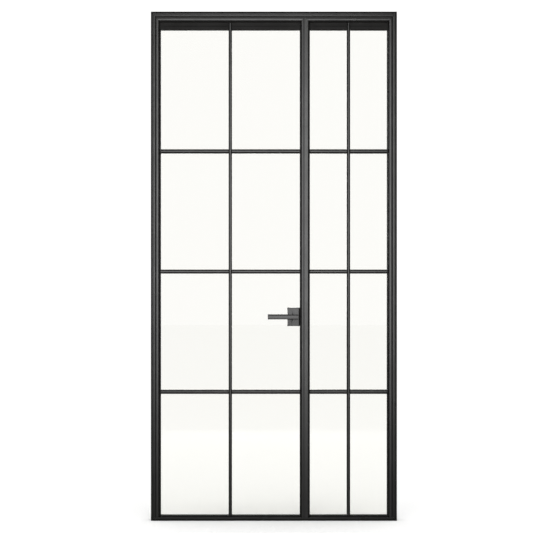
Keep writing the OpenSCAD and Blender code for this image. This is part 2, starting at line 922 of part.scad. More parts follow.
// Room for the lock case and its bolt in the lock stile, the gaskets and the glass
module case_room_box(gap) {
    block([case_x0 - gap, case_y0 - gap, lock_z - case_hz - gap],
        [case_x1 + slip_gap, case_y1 + gap, lock_z + case_hz + gap]);
}

module bolt_hole(x0, x1) {
    block([x0, glass_mid - bolt_t / 2 - slip_gap, lock_z - bolt_h / 2 - slip_gap],
        [x1, glass_mid + bolt_t / 2 + slip_gap, lock_z + bolt_h / 2 + slip_gap]);
}

module faceplate_screws(hole) {
    for (s = [-1, 1])
        if (hole)
            screw_side_hole(leaf_edge_x, glass_mid, lock_z + s * faceplate_screw_z, -1,
                sash_back);
        else
            screw_side(leaf_edge_x, glass_mid, lock_z + s * faceplate_screw_z, -1, sash_back);
}

module leaf_stile_hinge() {
    color(black) difference() {
        stile(main_x0, main_x1);
        for (z = hinge_zs) hinge_leaf_screw_holes(z);
    }
}

module leaf_stile_lock() {
    color(black) difference() {
        stile_mirrored(main_x0, main_x1);
        block([leaf_edge_x - plate_t, glass_mid - plate_w / 2, lock_z - faceplate_h / 2],
            [leaf_edge_x + over, glass_mid + plate_w / 2, lock_z + faceplate_h / 2]);
        case_room_box(case_gap);
        bolt_hole(case_x1, leaf_edge_x + over);
        faceplate_screws(true);
    }
}

module leaf_top_rail() { color(black) top_rail(main_x0, main_x1); }
module leaf_bottom_rail() { color(black) bottom_rail(main_x0, main_x1); }

module leaf_glass() {
    x0 = cover_x0 + cover_lap;
    hz = cover_h / 2 - cover_lap;
    color(glass_tint) difference() {
        pane(main_x0, main_x1);
        block([x0, glass_y0 - over, lock_z - hz + notch_r],
            [main_x1 + stile_w, glass_y1 + over, lock_z + hz - notch_r]);
        block([x0 + notch_r, glass_y0 - over, lock_z - hz],
            [main_x1 + stile_w, glass_y1 + over, lock_z + hz]);
        for (s = [-1, 1])
            rod_y(x0 + notch_r, lock_z + s * (hz - notch_r), glass_y0 - over, glass_y1 + over,
                notch_r);
    }
}

module leaf_seal_front() {
    color(rubber_black) difference() {
        gasket(main_x0, main_x1, pocket_y0, glass_y0);
        case_room_box(case_gap);
    }
}

module leaf_seal_rear() {
    color(rubber_black) difference() {
        gasket(main_x0, main_x1, glass_y1, pocket_y1);
        case_room_box(case_gap);
    }
}

module leaf_setting_blocks() { color(rubber_black) setting_blocks(main_x0, main_x1); }
module leaf_top_bead() { color(black) top_bead(main_x0, main_x1); }
module leaf_front_bar() { color(black) front_bar(main_x0, main_x1); }
module leaf_front_cross_bars() { color(black) front_cross_bars(main_x0, main_x1); }
module leaf_rear_bar() { color(black) rear_bar(main_x0, main_x1); }
module leaf_rear_cross_bars() { color(black) rear_cross_bars(main_x0, main_x1); }

module leaf_screws() {
    color(steel) {
        sash_screws(main_x0, main_x1);
        faceplate_screws(false);
        for (z = hinge_zs)
            for (dz = hinge_screw_zs)
                screw_back(leaf_screw_x, z + dz, sash_rear_y + wing_t,
                    wing_t + sash_wall + stile_bite);
    }
}

// ---- Lock ----

module follower_bore() {
    rod_y(hub_x, lock_z, case_y0 - over, case_y1 + over, follower_hub_r + run_gap);
}

module cover_screw_holes(y0, y1) {
    for (s = [-1, 1]) rod_y(hub_x, lock_z + s * cover_screw_z, y0, y1, screw_r);
}

module lock_case() {
    color(steel) difference() {
        block([case_x0, case_y0 + case_wall, lock_z - case_hz],
            [case_x1, case_y1, lock_z + case_hz]);
        block([case_x0 + case_wall, case_y0, lock_z - case_hz + case_wall],
            [case_x1 - case_wall, case_y1 - case_wall, lock_z + case_hz - case_wall]);
        bolt_hole(case_x1 - case_wall - over, case_x1 + over);
        follower_bore();
        cover_screw_holes(case_y0, case_y1 + over);
    }
}

module lock_case_lid() {
    color(steel) difference() {
        block([case_x0, case_y0, lock_z - case_hz],
            [case_x1, case_y0 + case_wall, lock_z + case_hz]);
        follower_bore();
        cover_screw_holes(case_y0 - over, case_y1);
    }
}

module lock_faceplate() {
    color(steel) difference() {
        block([leaf_edge_x - plate_t, glass_mid - plate_w / 2, lock_z - faceplate_h / 2],
            [leaf_edge_x, glass_mid + plate_w / 2, lock_z + faceplate_h / 2]);
        bolt_hole(leaf_edge_x - plate_t - over, leaf_edge_x + over);
        faceplate_screws(true);
    }
}

// Cover shell on the front of the glass, open towards it, notched where the case passes
module cover_shell() {
    hz = cover_h / 2;
    w = cover_wall;
    difference() {
        block([cover_x0, cover_y0, lock_z - hz], [cover_x1, glass_y0, lock_z + hz]);
        block([cover_x0 + w, cover_y0 + w, lock_z - hz + w],
            [cover_x1 - w, glass_y0 + over, lock_z + hz - w]);
        block([cover_x1 - w - over, case_y0, lock_z - case_hz - slip_gap],
            [cover_x1 + over, glass_y0 + over, lock_z + case_hz + slip_gap]);
        rod_y(hub_x, lock_z, cover_y0 - over, cover_y0 + w + over, neck_d / 2 + slip_gap);
    }
}

// Turns a front fitting into the same fitting at the rear of the glass
module rear_side() {
    translate([0, 2 * glass_mid, 0]) mirror([0, 1, 0]) children();
}

module lock_cover_front() {
    boss_r = 5;
    boss_sink = 0.5;
    bore_floor = 1;
    color(black) difference() {
        union() {
            cover_shell();
            for (s = [-1, 1])
                rod_y(hub_x, lock_z + s * cover_screw_z, cover_y0 + cover_wall - boss_sink,
                    case_y0, boss_r);
        }
        cover_screw_holes(cover_y0 + cover_wall + bore_floor, case_y0 + over);
    }
}

// Rubber strips that close the gap between the lock covers and the lock stile
module lock_strip() {
    hz = cover_h / 2;
    difference() {
        block([cover_x1, glass_y0 - strip_t, lock_z - hz], [lock_x1, glass_y0, lock_z + hz]);
        block([cover_x1 - over, case_y0, lock_z - case_hz - slip_gap],
            [lock_x1 + over, glass_y0 + over, lock_z + case_hz + slip_gap]);
    }
}

module lock_strips() {
    color(rubber_black) {
        lock_strip();
        rear_side() lock_strip();
    }
}

cover_screw_gap = 2;
cover_screw_l = cover_y1 - cover_y0 - cover_wall - cover_screw_gap;

module lock_cover_rear() {
    color(black) difference() {
        rear_side() cover_shell();
        for (s = [-1, 1])
            screw_back_hole(hub_x, lock_z + s * cover_screw_z, cover_y1, cover_wall);
    }
}

module lock_cover_screws() {
    color(steel) for (s = [-1, 1])
        screw_back(hub_x, lock_z + s * cover_screw_z, cover_y1, cover_screw_l);
}

// Lever with its neck; the neck has a square socket for the spindle
module lever() {
    soft = 2;
    h = lever_face / 2;
    x0 = hub_x - (lever_l - lever_tail);
    x1 = hub_x + lever_tail;
    socket = spindle_w + 2 * run_gap;
    difference() {
        union() {
            level(x0, x1) translate([lever_y0, lock_z])
                polygon([[0, soft - h], [soft, -h], [lever_t, -h], [lever_t, h], [soft, h],
                    [0, h - soft]]);
            rod_y(hub_x, lock_z, lever_y1 - over, neck_end_y, neck_d / 2);
        }
        translate([hub_x, 0, lock_z])
            block([-socket / 2, lever_y1 + socket_floor, -socket / 2],
                [socket / 2, neck_end_y + over, socket / 2]);
    }
}

module lever_front() { color(black) lever(); }
module lever_rear() { color(black) rear_side() lever(); }

module spindle() {
    reach = glass_mid - lever_y1 - socket_floor - spindle_play;
    color(steel) translate([hub_x - spindle_w / 2, glass_mid - reach, lock_z - spindle_w / 2])
        cube([spindle_w, 2 * reach, spindle_w]);
}

// Follower: a disc with an arm that draws the bolt back, turned by the spindle
module lock_follower() {
    side_gap = 0.5;
    y0 = case_y0 + case_wall + side_gap;
    y1 = case_y1 - case_wall - side_gap;
    socket = spindle_w / 2 + run_gap;
    color(steel) difference() {
        union() {
            rod_y(hub_x, lock_z, y0, y1, follower_r);
            rod_y(hub_x, lock_z, case_y0, case_y1, follower_hub_r);
            block([hub_x - arm_w / 2, y0, lock_z], [hub_x + arm_w / 2, y1, lock_z + arm_r]);
        }
        block([hub_x - socket, case_y0 - over, lock_z - socket],
            [hub_x + socket, case_y1 + over, lock_z + socket]);
    }
}

// Latch bolt: a bevelled nose, and a tail that hooks over the follower's arm
module latch_bolt() {
    y0 = glass_mid - bolt_t / 2;
    y1 = glass_mid + bolt_t / 2;
    hook_x1 = hub_x - arm_w / 2 - hook_play;
    bevel = bolt_travel - bolt_nose;
    color(steel) union() {
        upright(lock_z - bolt_h / 2, lock_z + bolt_h / 2)
            polygon([[bolt_x0, y0], [bolt_x1 - bevel, y0], [bolt_x1, y1 - bolt_nose],
                [bolt_x1, y1], [bolt_x0, y1]]);
        block([bolt_x0, y0, lock_z - bolt_h / 2],
            [bolt_x0 + bolt_web_w, y1, lock_z + tail_z1]);
        block([hook_x1 - hook_w, y0, lock_z + tail_z0],
            [bolt_x0 + bolt_web_w, y1, lock_z + tail_z1]);
        block([hook_x1 - hook_w, y0, lock_z + hook_z0], [hook_x1, y1, lock_z + tail_z1]);
    }
}

frame_jamb_left();
frame_jamb_right();
frame_head();
frame_sill();
mullion();
frame_corner_cleats();
frame_seals();
strike_plate();
frame_screws();
frame_wing(hinge_zs[2]);  // hinge_top_frame_wing
frame_wing(hinge_zs[1]);  // hinge_middle_frame_wing
frame_wing(hinge_zs[0]);  // hinge_bottom_frame_wing
hinge_pins();
sidelight_stile_left();
sidelight_stile_right();
sidelight_top_rail();
sidelight_bottom_rail();
sidelight_glass();
sidelight_seal_front();
sidelight_seal_rear();
sidelight_setting_blocks();
sidelight_top_bead();
sidelight_front_bar();
sidelight_front_cross_bars();
sidelight_rear_bar();
sidelight_rear_cross_bars();
sidelight_packers();
sidelight_fixing_plates();
leaf_stile_hinge();
leaf_stile_lock();
leaf_top_rail();
leaf_bottom_rail();
leaf_glass();
leaf_seal_front();
leaf_seal_rear();
leaf_setting_blocks();
leaf_top_bead();
leaf_front_bar();
leaf_front_cross_bars();
leaf_rear_bar();
leaf_rear_cross_bars();
leaf_screws();
leaf_wing(hinge_zs[2]);  // hinge_top_leaf_wing
leaf_wing(hinge_zs[1]);  // hinge_middle_leaf_wing
leaf_wing(hinge_zs[0]);  // hinge_bottom_leaf_wing
lock_case();
lock_case_lid();
lock_faceplate();
lock_cover_front();
lock_cover_rear();
lock_cover_screws();
lock_strips();
lever_front();
lever_rear();
spindle();
lock_follower();
latch_bolt();
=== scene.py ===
"""Slim black glazed door with a hinged leaf and a fixed sidelight: fittings, finishes and studio."""

from __future__ import annotations

import json
import logging
import math
from dataclasses import dataclass, field
from enum import Enum, IntEnum
from typing import Callable, Sequence

import bpy
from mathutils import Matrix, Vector

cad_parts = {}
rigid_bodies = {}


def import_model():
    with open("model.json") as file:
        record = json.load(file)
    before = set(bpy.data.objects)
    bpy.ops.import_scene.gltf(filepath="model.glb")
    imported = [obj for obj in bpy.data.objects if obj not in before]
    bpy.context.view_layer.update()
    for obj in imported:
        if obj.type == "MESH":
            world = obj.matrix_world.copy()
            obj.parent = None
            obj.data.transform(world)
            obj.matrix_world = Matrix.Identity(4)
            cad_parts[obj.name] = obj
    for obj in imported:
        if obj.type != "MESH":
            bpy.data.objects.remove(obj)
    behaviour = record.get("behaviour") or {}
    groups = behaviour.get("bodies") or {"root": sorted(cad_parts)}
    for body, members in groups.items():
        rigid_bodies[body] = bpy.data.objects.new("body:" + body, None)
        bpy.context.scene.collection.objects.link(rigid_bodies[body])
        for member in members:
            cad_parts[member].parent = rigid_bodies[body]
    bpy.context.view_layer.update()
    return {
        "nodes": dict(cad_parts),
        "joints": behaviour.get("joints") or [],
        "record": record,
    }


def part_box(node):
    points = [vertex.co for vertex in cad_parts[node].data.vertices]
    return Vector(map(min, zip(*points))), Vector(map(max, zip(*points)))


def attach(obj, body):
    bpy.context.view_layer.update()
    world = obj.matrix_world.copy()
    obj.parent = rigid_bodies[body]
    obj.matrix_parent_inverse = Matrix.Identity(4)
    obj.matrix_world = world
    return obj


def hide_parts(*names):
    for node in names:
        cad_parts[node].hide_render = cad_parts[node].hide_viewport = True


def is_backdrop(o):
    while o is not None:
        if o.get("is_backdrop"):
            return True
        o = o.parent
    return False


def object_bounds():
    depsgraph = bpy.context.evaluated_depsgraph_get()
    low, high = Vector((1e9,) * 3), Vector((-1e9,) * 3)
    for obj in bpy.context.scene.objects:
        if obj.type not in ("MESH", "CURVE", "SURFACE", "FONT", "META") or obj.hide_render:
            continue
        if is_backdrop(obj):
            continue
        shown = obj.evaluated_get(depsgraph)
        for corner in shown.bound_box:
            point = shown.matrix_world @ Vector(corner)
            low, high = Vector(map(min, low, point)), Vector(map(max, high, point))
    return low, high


LOG = logging.getLogger("glazed_door")
MM = 0.001
PANES = ("leaf_glass", "sidelight_glass")
# How near two places are that count as the same, as on one level, and as one vertex.
NEAR = 1e-6
ON_LEVEL = 0.1 * MM
MERGE = 0.005 * MM
# Rounding of the edges of thin steel plates.
PLATE_EDGE = 0.25 * MM
# On a rubber strip only long edges are rounded, and of those only the square ones.
STRIP_LEAST = 20 * MM
SQUARE_FOLD = 60.0
# Places of the two colours and the result among a colour Mix node's sockets.
MIX_A, MIX_B, MIX_OUT = 6, 7, 2
Colour = tuple[float, float, float]
Triple = tuple[float, float, float]


class Facing(Enum):
    """Side of the glass that a fitting stands on."""

    FRONT = -1
    REAR = 1

    @property
    def word(self) -> str:
        """The side as the nodes' names give it."""
        return self.name.lower()


class Axis(IntEnum):
    """Axis of the model, as an index into a place."""

    X = 0
    Y = 1
    Z = 2


class Element(Enum):
    """What a modelling move works on in edit mode."""

    VERT = "vertices"
    EDGE = "edges"
    FACE = "polygons"


# ---- Bench: the modelling moves that every piece shares ----


class Bench:
    """Modelling moves on one object at a time, as done by hand in edit mode."""

    @staticmethod
    def pick(obj: bpy.types.Object) -> bpy.types.Object:
        """Makes one object the only selected and active one.

        Args:
            obj: The object to work on.

        Returns:
            The same object.
        """
        bpy.ops.object.select_all(action="DESELECT")
        obj.hide_set(False)
        obj.select_set(True)
        bpy.context.view_layer.objects.active = obj
        return obj

    @staticmethod
    def clear() -> None:
        """Deselects everything."""
        bpy.ops.object.select_all(action="DESELECT")

    @staticmethod
    def settle(obj: bpy.types.Object) -> bpy.types.Object:
        """Moves an object's place, turn and scale into its mesh.

        Args:
            obj: The object.

        Returns:
            The same object.
        """
        Bench.pick(obj)
        bpy.ops.object.transform_apply(location=True, rotation=True, scale=True)
        return obj

    @staticmethod
    def choose(obj: bpy.types.Object, kind: Element, test: Callable[..., bool]) -> int:
        """Selects vertices, edges or faces by a test and leaves the object in edit mode.

        Args:
            obj: The object, in object mode.
            kind: What is selected.
            test: Gets the mesh and the element, and says whether it is selected.

        Returns:
            How many elements are selected.
        """
        Bench.pick(obj)
        bpy.ops.object.mode_set(mode="EDIT")
        bpy.ops.mesh.select_mode(type=kind.name)
        bpy.ops.mesh.select_all(action="DESELECT")
        bpy.ops.object.mode_set(mode="OBJECT")
        mesh = obj.data
        chosen = [element for element in getattr(mesh, kind.value) if test(mesh, element)]
        for element in chosen:
            element.select = True
        bpy.ops.object.mode_set(mode="EDIT")
        return len(chosen)

    @staticmethod
    def leave() -> None:
        """Goes back to object mode."""
        bpy.ops.object.mode_set(mode="OBJECT")

    @staticmethod
    def cube(name: str, low: Sequence[float], high: Sequence[float]) -> bpy.types.Object:
        """Adds a box between two corners, as the start of a piece.

        Args:
            name: The piece's name.
            low: Its lowest corner, in metres.
            high: Its highest corner, in metres.

        Returns:
            The new object, with its place in its mesh.
        """
        Bench.clear()
        a, b = Vector(low), Vector(high)
        bpy.ops.mesh.primitive_cube_add(size=1.0, location=(a + b) / 2)
        obj = bpy.context.active_object
        obj.name = name
        obj.scale = b - a
        return Bench.settle(obj)

    @staticmethod
    def rod(
        name: str, start: Sequence[float], end: Sequence[float], radius: float, sides: int = 48
    ) -> bpy.types.Object:
        """Adds a cylinder between two points, as the start of a turned piece.

        Args:
            name: The piece's name.
            start: Centre of one end.
            end: Centre of the other end.
            radius: Its radius.
            sides: How many sides it has.

        Returns:
            The new object, with its place in its mesh.
        """
        Bench.clear()
        a, b = Vector(start), Vector(end)
        bpy.ops.mesh.primitive_cylinder_add(
            vertices=sides, radius=radius, depth=(b - a).length, location=(a + b) / 2
        )
        obj = bpy.context.active_object
        obj.name = name
        obj.rotation_mode = "QUATERNION"
        obj.rotation_quaternion = (b - a).to_track_quat("Z", "Y")
        return Bench.settle(obj)

    @staticmethod
    def bevel(
        obj: bpy.types.Object,
        test: Callable[..., bool],
        width: float,
        segments: int = 3,
    ) -> bpy.types.Object:
        """Rounds the edges that a test picks.

        Args:
            obj: The piece.
            test: Gets the mesh and an edge.
            width: Width of the rounding.
            segments: How many steps it has.

        Returns:
            The piece.
        """
        if Bench.choose(obj, Element.EDGE, test):
            bpy.ops.mesh.bevel(
                offset=width, segments=segments, profile=0.5, affect="EDGES", clamp_overlap=False
            )
        Bench.leave()
        return obj

    @staticmethod
    def join(name: str, parts: Sequence[bpy.types.Object]) -> bpy.types.Object:
        """Joins several meshes into one piece.

        Args:
            name: The piece's name.
            parts: The meshes, the first of which takes in the others.

        Returns:
            The piece.
        """
        Bench.clear()
        for part in parts:
            part.select_set(True)
        bpy.context.view_layer.objects.active = parts[0]
        if len(parts) > 1:
            bpy.ops.object.join()
        parts[0].name = name
        parts[0].data.name = name
        return parts[0]

    @staticmethod
    def twin(obj: bpy.types.Object, name: str) -> bpy.types.Object:
        """Copies an object with a mesh of its own.

        Args:
            obj: The object.
            name: Name of the copy and of its mesh.

        Returns:
            The copy.
        """
        Bench.pick(obj)
        bpy.ops.object.duplicate(linked=False)
        copy = bpy.context.active_object
        copy.name = name
        copy.data.name = name
        return copy

    @staticmethod
    def open_copy(node: bpy.types.Object, name: str) -> bpy.types.Object:
        """Copies a CAD node, free of its parent and keys, and opens the copy in edit mode.

        Args:
            node: The CAD node.
            name: Name of the copy.

        Returns:
            The copy, in edit mode, with its doubled vertices merged and everything selected.
        """
        copy = Bench.twin(node, name)
        bpy.ops.object.parent_clear(type="CLEAR_KEEP_TRANSFORM")
        for key in list(copy.keys()):
            del copy[key]
        bpy.ops.object.mode_set(mode="EDIT")
        bpy.ops.mesh.select_all(action="SELECT")
        bpy.ops.mesh.remove_doubles(threshold=MERGE)
        return copy

    @staticmethod
    def cut(obj: bpy.types.Object, cutter: bpy.types.Object) -> None:
        """Cuts one mesh out of another and removes the cutter.

        Args:
            obj: The piece.
            cutter: The mesh that is taken away from it.
        """
        modifier = obj.modifiers.new("cut", "BOOLEAN")
        modifier.operation = "DIFFERENCE"
        modifier.solver = "EXACT"
        modifier.object = cutter
        Bench.pick(obj)
        bpy.ops.object.modifier_apply(modifier=modifier.name)
        bpy.data.objects.remove(cutter)

    @staticmethod
    def smooth(obj: bpy.types.Object, degrees: float = 32.0) -> bpy.types.Object:
        """Shades a piece smooth across shallow edges, with flat faces kept flat.

        Args:
            obj: The piece.
            degrees: The steepest fold that is shaded smooth.

        Returns:
            The piece.
        """
        Bench.pick(obj)
        bpy.ops.object.shade_smooth_by_angle(angle=math.radians(degrees))
        bpy.ops.object.modifier_add(type="WEIGHTED_NORMAL")
        modifier = obj.modifiers[-1]
        modifier.keep_sharp = True
        bpy.ops.object.modifier_apply(modifier=modifier.name)
        return obj


def edge_ends(mesh: bpy.types.Mesh, edge: bpy.types.MeshEdge) -> tuple[Vector, Vector]:
    """Both ends of an edge."""
    return mesh.vertices[edge.vertices[0]].co, mesh.vertices[edge.vertices[1]].co


def along(axis: Axis, least: float = 0.0) -> Callable[..., bool]:
    """Test for edges that run along one axis.

    Args:
        axis: The axis.
        least: The shortest such edge that counts.

    Returns:
        The test.
    """

    def test(mesh: bpy.types.Mesh, edge: bpy.types.MeshEdge) -> bool:
        a, b = edge_ends(mesh, edge)
        d = b - a
        return d.length > least and abs(d[axis]) > 0.999 * d.length

    return test


def level(axis: Axis, value: float) -> Callable[..., bool]:
    """Test for edges that lie at one level.

    Args:
        axis: The axis.
        value: The level.

    Returns:
        The test.
    """
    return lambda mesh, edge: all(abs(end[axis] - value) < ON_LEVEL for end in edge_ends(mesh, edge))


def folds(mesh: bpy.types.Mesh, angle: float, length: float) -> set[int]:
    """Edges of a mesh that are sharp and long enough to be rounded.

    Args:
        mesh: The mesh.
        angle: The least fold, in degrees.
        length: The least length.

    Returns:
        The indices of those edges.
    """
    sides: dict[tuple[int, int], list[Vector]] = {}
    for face in mesh.polygons:
        for key in face.edge_keys:
            sides.setdefault(key, []).append(face.normal)
    least = math.radians(angle)
    found = set()
    for edge in mesh.edges:
        normals = sides.get(tuple(sorted(edge.vertices)), [])
        a, b = edge_ends(mesh, edge)
        if len(normals) == 2 and (b - a).length >= length:
            if normals[0].angle(normals[1], 0.0) > least:
                found.add(edge.index)
    return found


def corners(node: str) -> tuple[Vector, Vector]:
    """Lowest and highest corner of a CAD node."""
    low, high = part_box(node)
    return Vector(low), Vector(high)


def levels(node: str, side: Facing) -> tuple[float, float]:
    """Where the outer and the inner face of a fitting lie along Y.

    Args:
        node: The CAD node.
        side: Which side of the glass it is on.

    Returns:
        The level of the outer face and that of the inner face.
    """
    low, high = corners(node)
    return (low.y, high.y) if side is Facing.FRONT else (high.y, low.y)


# ---- Finishes ----


class NodeTree:
    """Short way to add and link nodes."""

    def __init__(self, tree: bpy.types.NodeTree) -> None:
        """Keeps the tree that nodes are added to."""
        self.tree = tree

    def add(self, kind: str, **values: object) -> bpy.types.Node:
        """Adds a node.

        Args:
            kind: The node's type, without its prefix where that is ShaderNode.
            values: Attributes of the node, or values of its input sockets by name.

        Returns:
            The node.
        """
        node = self.tree.nodes.new(kind if kind.startswith("Node") else "ShaderNode" + kind)
        return self.fill(node, **values)

    @staticmethod
    def fill(node: bpy.types.Node, **values: object) -> bpy.types.Node:
        """Sets what a node holds.

        Args:
            node: The node.
            values: Attributes of the node, or values of its input sockets by name.

        Returns:
            The node.
        """
        for name, value in values.items():
            if hasattr(node, name):
                setattr(node, name, value)
            else:
                node.inputs[name.replace("_", " ")].default_value = value
        return node

    def link(self, source: bpy.types.NodeSocket, target: bpy.types.NodeSocket) -> None:
        """Links an output to an input."""
        self.tree.links.new(source, target)


def new_material(name: str) -> tuple[bpy.types.Material, NodeTree, bpy.types.Node]:
    """Makes a material with nodes.

    Args:
        name: The material's name.

    Returns:
        The material, its tree and its Principled BSDF.
    """
    material = bpy.data.materials.new(name)
    material.use_nodes = True
    return material, NodeTree(material.node_tree), material.node_tree.nodes["Principled BSDF"]


class SurfaceEffects:
    """Node groups that several finishes use."""

    def __init__(self) -> None:
        """Builds the groups once."""
        self.grain = self._grain()
        self.drift = self._drift()
        self.streaks = self._streaks()

    @staticmethod
    def _group(name: str, inputs: dict[str, float], outputs: Sequence[str]) -> bpy.types.NodeTree:
        """Starts a group with float sockets.

        Args:
            name: The group's name.
            inputs: Names and defaults of its inputs.
            outputs: Names of its outputs.

        Returns:
            The empty group, with its input and output nodes.
        """
        group = bpy.data.node_groups.new(name, "ShaderNodeTree")
        for socket, default in inputs.items():
            made = group.interface.new_socket(name=socket, in_out="INPUT", socket_type="NodeSocketFloat")
            made.default_value = default
        for socket in outputs:
            group.interface.new_socket(name=socket, in_out="OUTPUT", socket_type="NodeSocketFloat")
        group.nodes.new("NodeGroupInput")
        group.nodes.new("NodeGroupOutput")
        return group

    def _grain(self) -> bpy.types.NodeTree:
        """Fine rounded texture of a baked powder, with a few coarser specks.

        Returns:
            The group.
        """
        group = self._group("powder_grain", {"Scale": 900.0, "Specks": 0.3}, ["Height"])
        net = NodeTree(group)
        start, end = group.nodes["Group Input"], group.nodes["Group Output"]
        place = net.add("TexCoord")
        fine = net.add("TexNoise", Detail=2.0, Roughness=0.55)
        cells = net.add("TexVoronoi")
        half = net.add("Math", operation="MULTIPLY")
        half.inputs[1].default_value = 0.45
        specks = net.add("Math", operation="MULTIPLY")
        total = net.add("Math", operation="ADD")
        for texture in (fine, cells):
            net.link(place.outputs["Object"], texture.inputs["Vector"])
        net.link(start.outputs["Scale"], fine.inputs["Scale"])
        net.link(start.outputs["Scale"], half.inputs[0])
        net.link(half.outputs[0], cells.inputs["Scale"])
        net.link(cells.outputs["Distance"], specks.inputs[0])
        net.link(start.outputs["Specks"], specks.inputs[1])
        net.link(fine.outputs["Fac"], total.inputs[0])
        net.link(specks.outputs[0], total.inputs[1])
        net.link(total.outputs[0], end.inputs["Height"])
        return group

    def _drift(self) -> bpy.types.NodeTree:
        """Slow change of a finish over tens of centimetres, between two values.

        Returns:
            The group.
        """
        group = self._group("finish_drift", {"Scale": 5.0, "Low": 0.0, "High": 1.0}, ["Value"])
        net = NodeTree(group)
        start, end = group.nodes["Group Input"], group.nodes["Group Output"]
        place = net.add("TexCoord")
        cloud = net.add("TexNoise", Detail=4.0, Roughness=0.6)
        spread = net.add("MapRange", From_Min=0.3, From_Max=0.7)
        net.link(place.outputs["Object"], cloud.inputs["Vector"])
        net.link(start.outputs["Scale"], cloud.inputs["Scale"])
        net.link(cloud.outputs["Fac"], spread.inputs["Value"])
        net.link(start.outputs["Low"], spread.inputs["To Min"])
        net.link(start.outputs["High"], spread.inputs["To Max"])
        net.link(spread.outputs["Result"], end.inputs["Value"])
        return group

    def _streaks(self) -> bpy.types.NodeTree:
        """Fine lines of a brushed metal, running up the piece.

        Returns:
            The group.
        """
        group = self._group("brush_streaks", {"Scale": 60.0}, ["Height"])
        net = NodeTree(group)
        start, end = group.nodes["Group Input"], group.nodes["Group Output"]
        place = net.add("TexCoord")
        stretch = net.add("Mapping", Scale=(30.0, 30.0, 1.0))
        lines = net.add("TexNoise", Detail=3.0, Roughness=0.7)
        net.link(place.outputs["Object"], stretch.inputs["Vector"])
        net.link(stretch.outputs["Vector"], lines.inputs["Vector"])
        net.link(start.outputs["Scale"], lines.inputs["Scale"])
        net.link(lines.outputs["Fac"], end.inputs["Height"])
        return group


@dataclass(frozen=True)
class Finish:
    """An opaque finish: colour and roughness that drift a little, and a fine relief.

    Attributes:
        name: The material's name.
        slot: The record's slot that it stands for.
        dark: Its colour where it is darkest.
        light: Its colour where it is lightest.
        rough: Its lowest and highest roughness.
        metallic: How metallic it is.
        coat: Weight of its clear coat.
        level: How strongly it reflects, 0.5 being a usual paint.
        relief: Height of the fine relief, in metres.
        scale: Scale of the relief.
        brushed: True for brush lines, false for powder grain.
    """

    name: str
    slot: str
    dark: Colour
    light: Colour
    rough: tuple[float, float]
    metallic: float = 0.0
    coat: float = 0.0
    level: float = 0.5
    relief: float = 0.00004
    scale: float = 900.0
    brushed: bool = False

    # Scales of the slow changes in colour and in roughness, and what every coat and relief share.
    TONE_SCALE = 7.0
    GLOSS_SCALE = 11.0
    COAT_ROUGHNESS = 0.25
    BUMP_STRENGTH = 0.6

    def build(self, effects: SurfaceEffects) -> bpy.types.Material:
        """Makes the material.

        Args:
            effects: The shared node groups.

        Returns:
            The material.
        """
        material, net, shader = new_material(self.name)
        net.fill(shader, Metallic=self.metallic, Coat_Weight=self.coat, Coat_Roughness=self.COAT_ROUGHNESS)
        net.fill(shader, Specular_IOR_Level=self.level)
        tone = net.add("Group", node_tree=effects.drift, Scale=self.TONE_SCALE)
        mix = net.add("Mix", data_type="RGBA")
        mix.inputs[MIX_A].default_value = (*self.dark, 1.0)
        mix.inputs[MIX_B].default_value = (*self.light, 1.0)
        net.link(tone.outputs["Value"], mix.inputs[0])
        net.link(mix.outputs[MIX_OUT], shader.inputs["Base Color"])
        low, high = self.rough
        gloss = net.add("Group", node_tree=effects.drift, Scale=self.GLOSS_SCALE, Low=low, High=high)
        net.link(gloss.outputs["Value"], shader.inputs["Roughness"])
        pattern = effects.streaks if self.brushed else effects.grain
        relief = net.add("Group", node_tree=pattern, Scale=self.scale)
        bump = net.add("Bump", Strength=self.BUMP_STRENGTH, Distance=self.relief)
        net.link(relief.outputs["Height"], bump.inputs["Height"])
        net.link(bump.outputs["Normal"], shader.inputs["Normal"])
        return material


@dataclass(frozen=True)
class ClearGlass:
    """Clear float glass with a faint warm tint and a slow drift in its polish.

    Attributes:
        name: The material's name.
        slot: The record's slot that it stands for.
        tint: Its colour.
        index: Its index of refraction.
        haze: Its highest roughness.
        shade: What it lets through to whatever it shades.
    """

    name: str = "clear_float_glass"
    slot: str = "pane_glass"
    tint: Colour = (0.999, 0.995, 0.962)
    index: float = 1.5
    haze: float = 0.012
    shade: Colour = (0.95, 0.97, 0.95)

    def build(self, effects: SurfaceEffects) -> bpy.types.Material:
        """Makes the material, which lets light through to what stands behind it.

        Args:
            effects: The shared node groups.

        Returns:
            The material.
        """
        material, net, shader = new_material(self.name)
        net.fill(shader, Base_Color=(*self.tint, 1.0), Transmission_Weight=1.0, IOR=self.index)
        haze = net.add("Group", node_tree=effects.drift, Scale=3.0, High=self.haze)
        net.link(haze.outputs["Value"], shader.inputs["Roughness"])
        path = net.add("LightPath")
        clear = net.add("BsdfTransparent", Color=(*self.shade, 1.0))
        mix = net.add("MixShader")
        net.link(path.outputs["Is Shadow Ray"], mix.inputs[0])
        net.link(shader.outputs[0], mix.inputs[1])
        net.link(clear.outputs[0], mix.inputs[2])
        net.link(mix.outputs[0], net.tree.nodes["Material Output"].inputs["Surface"])
        return material


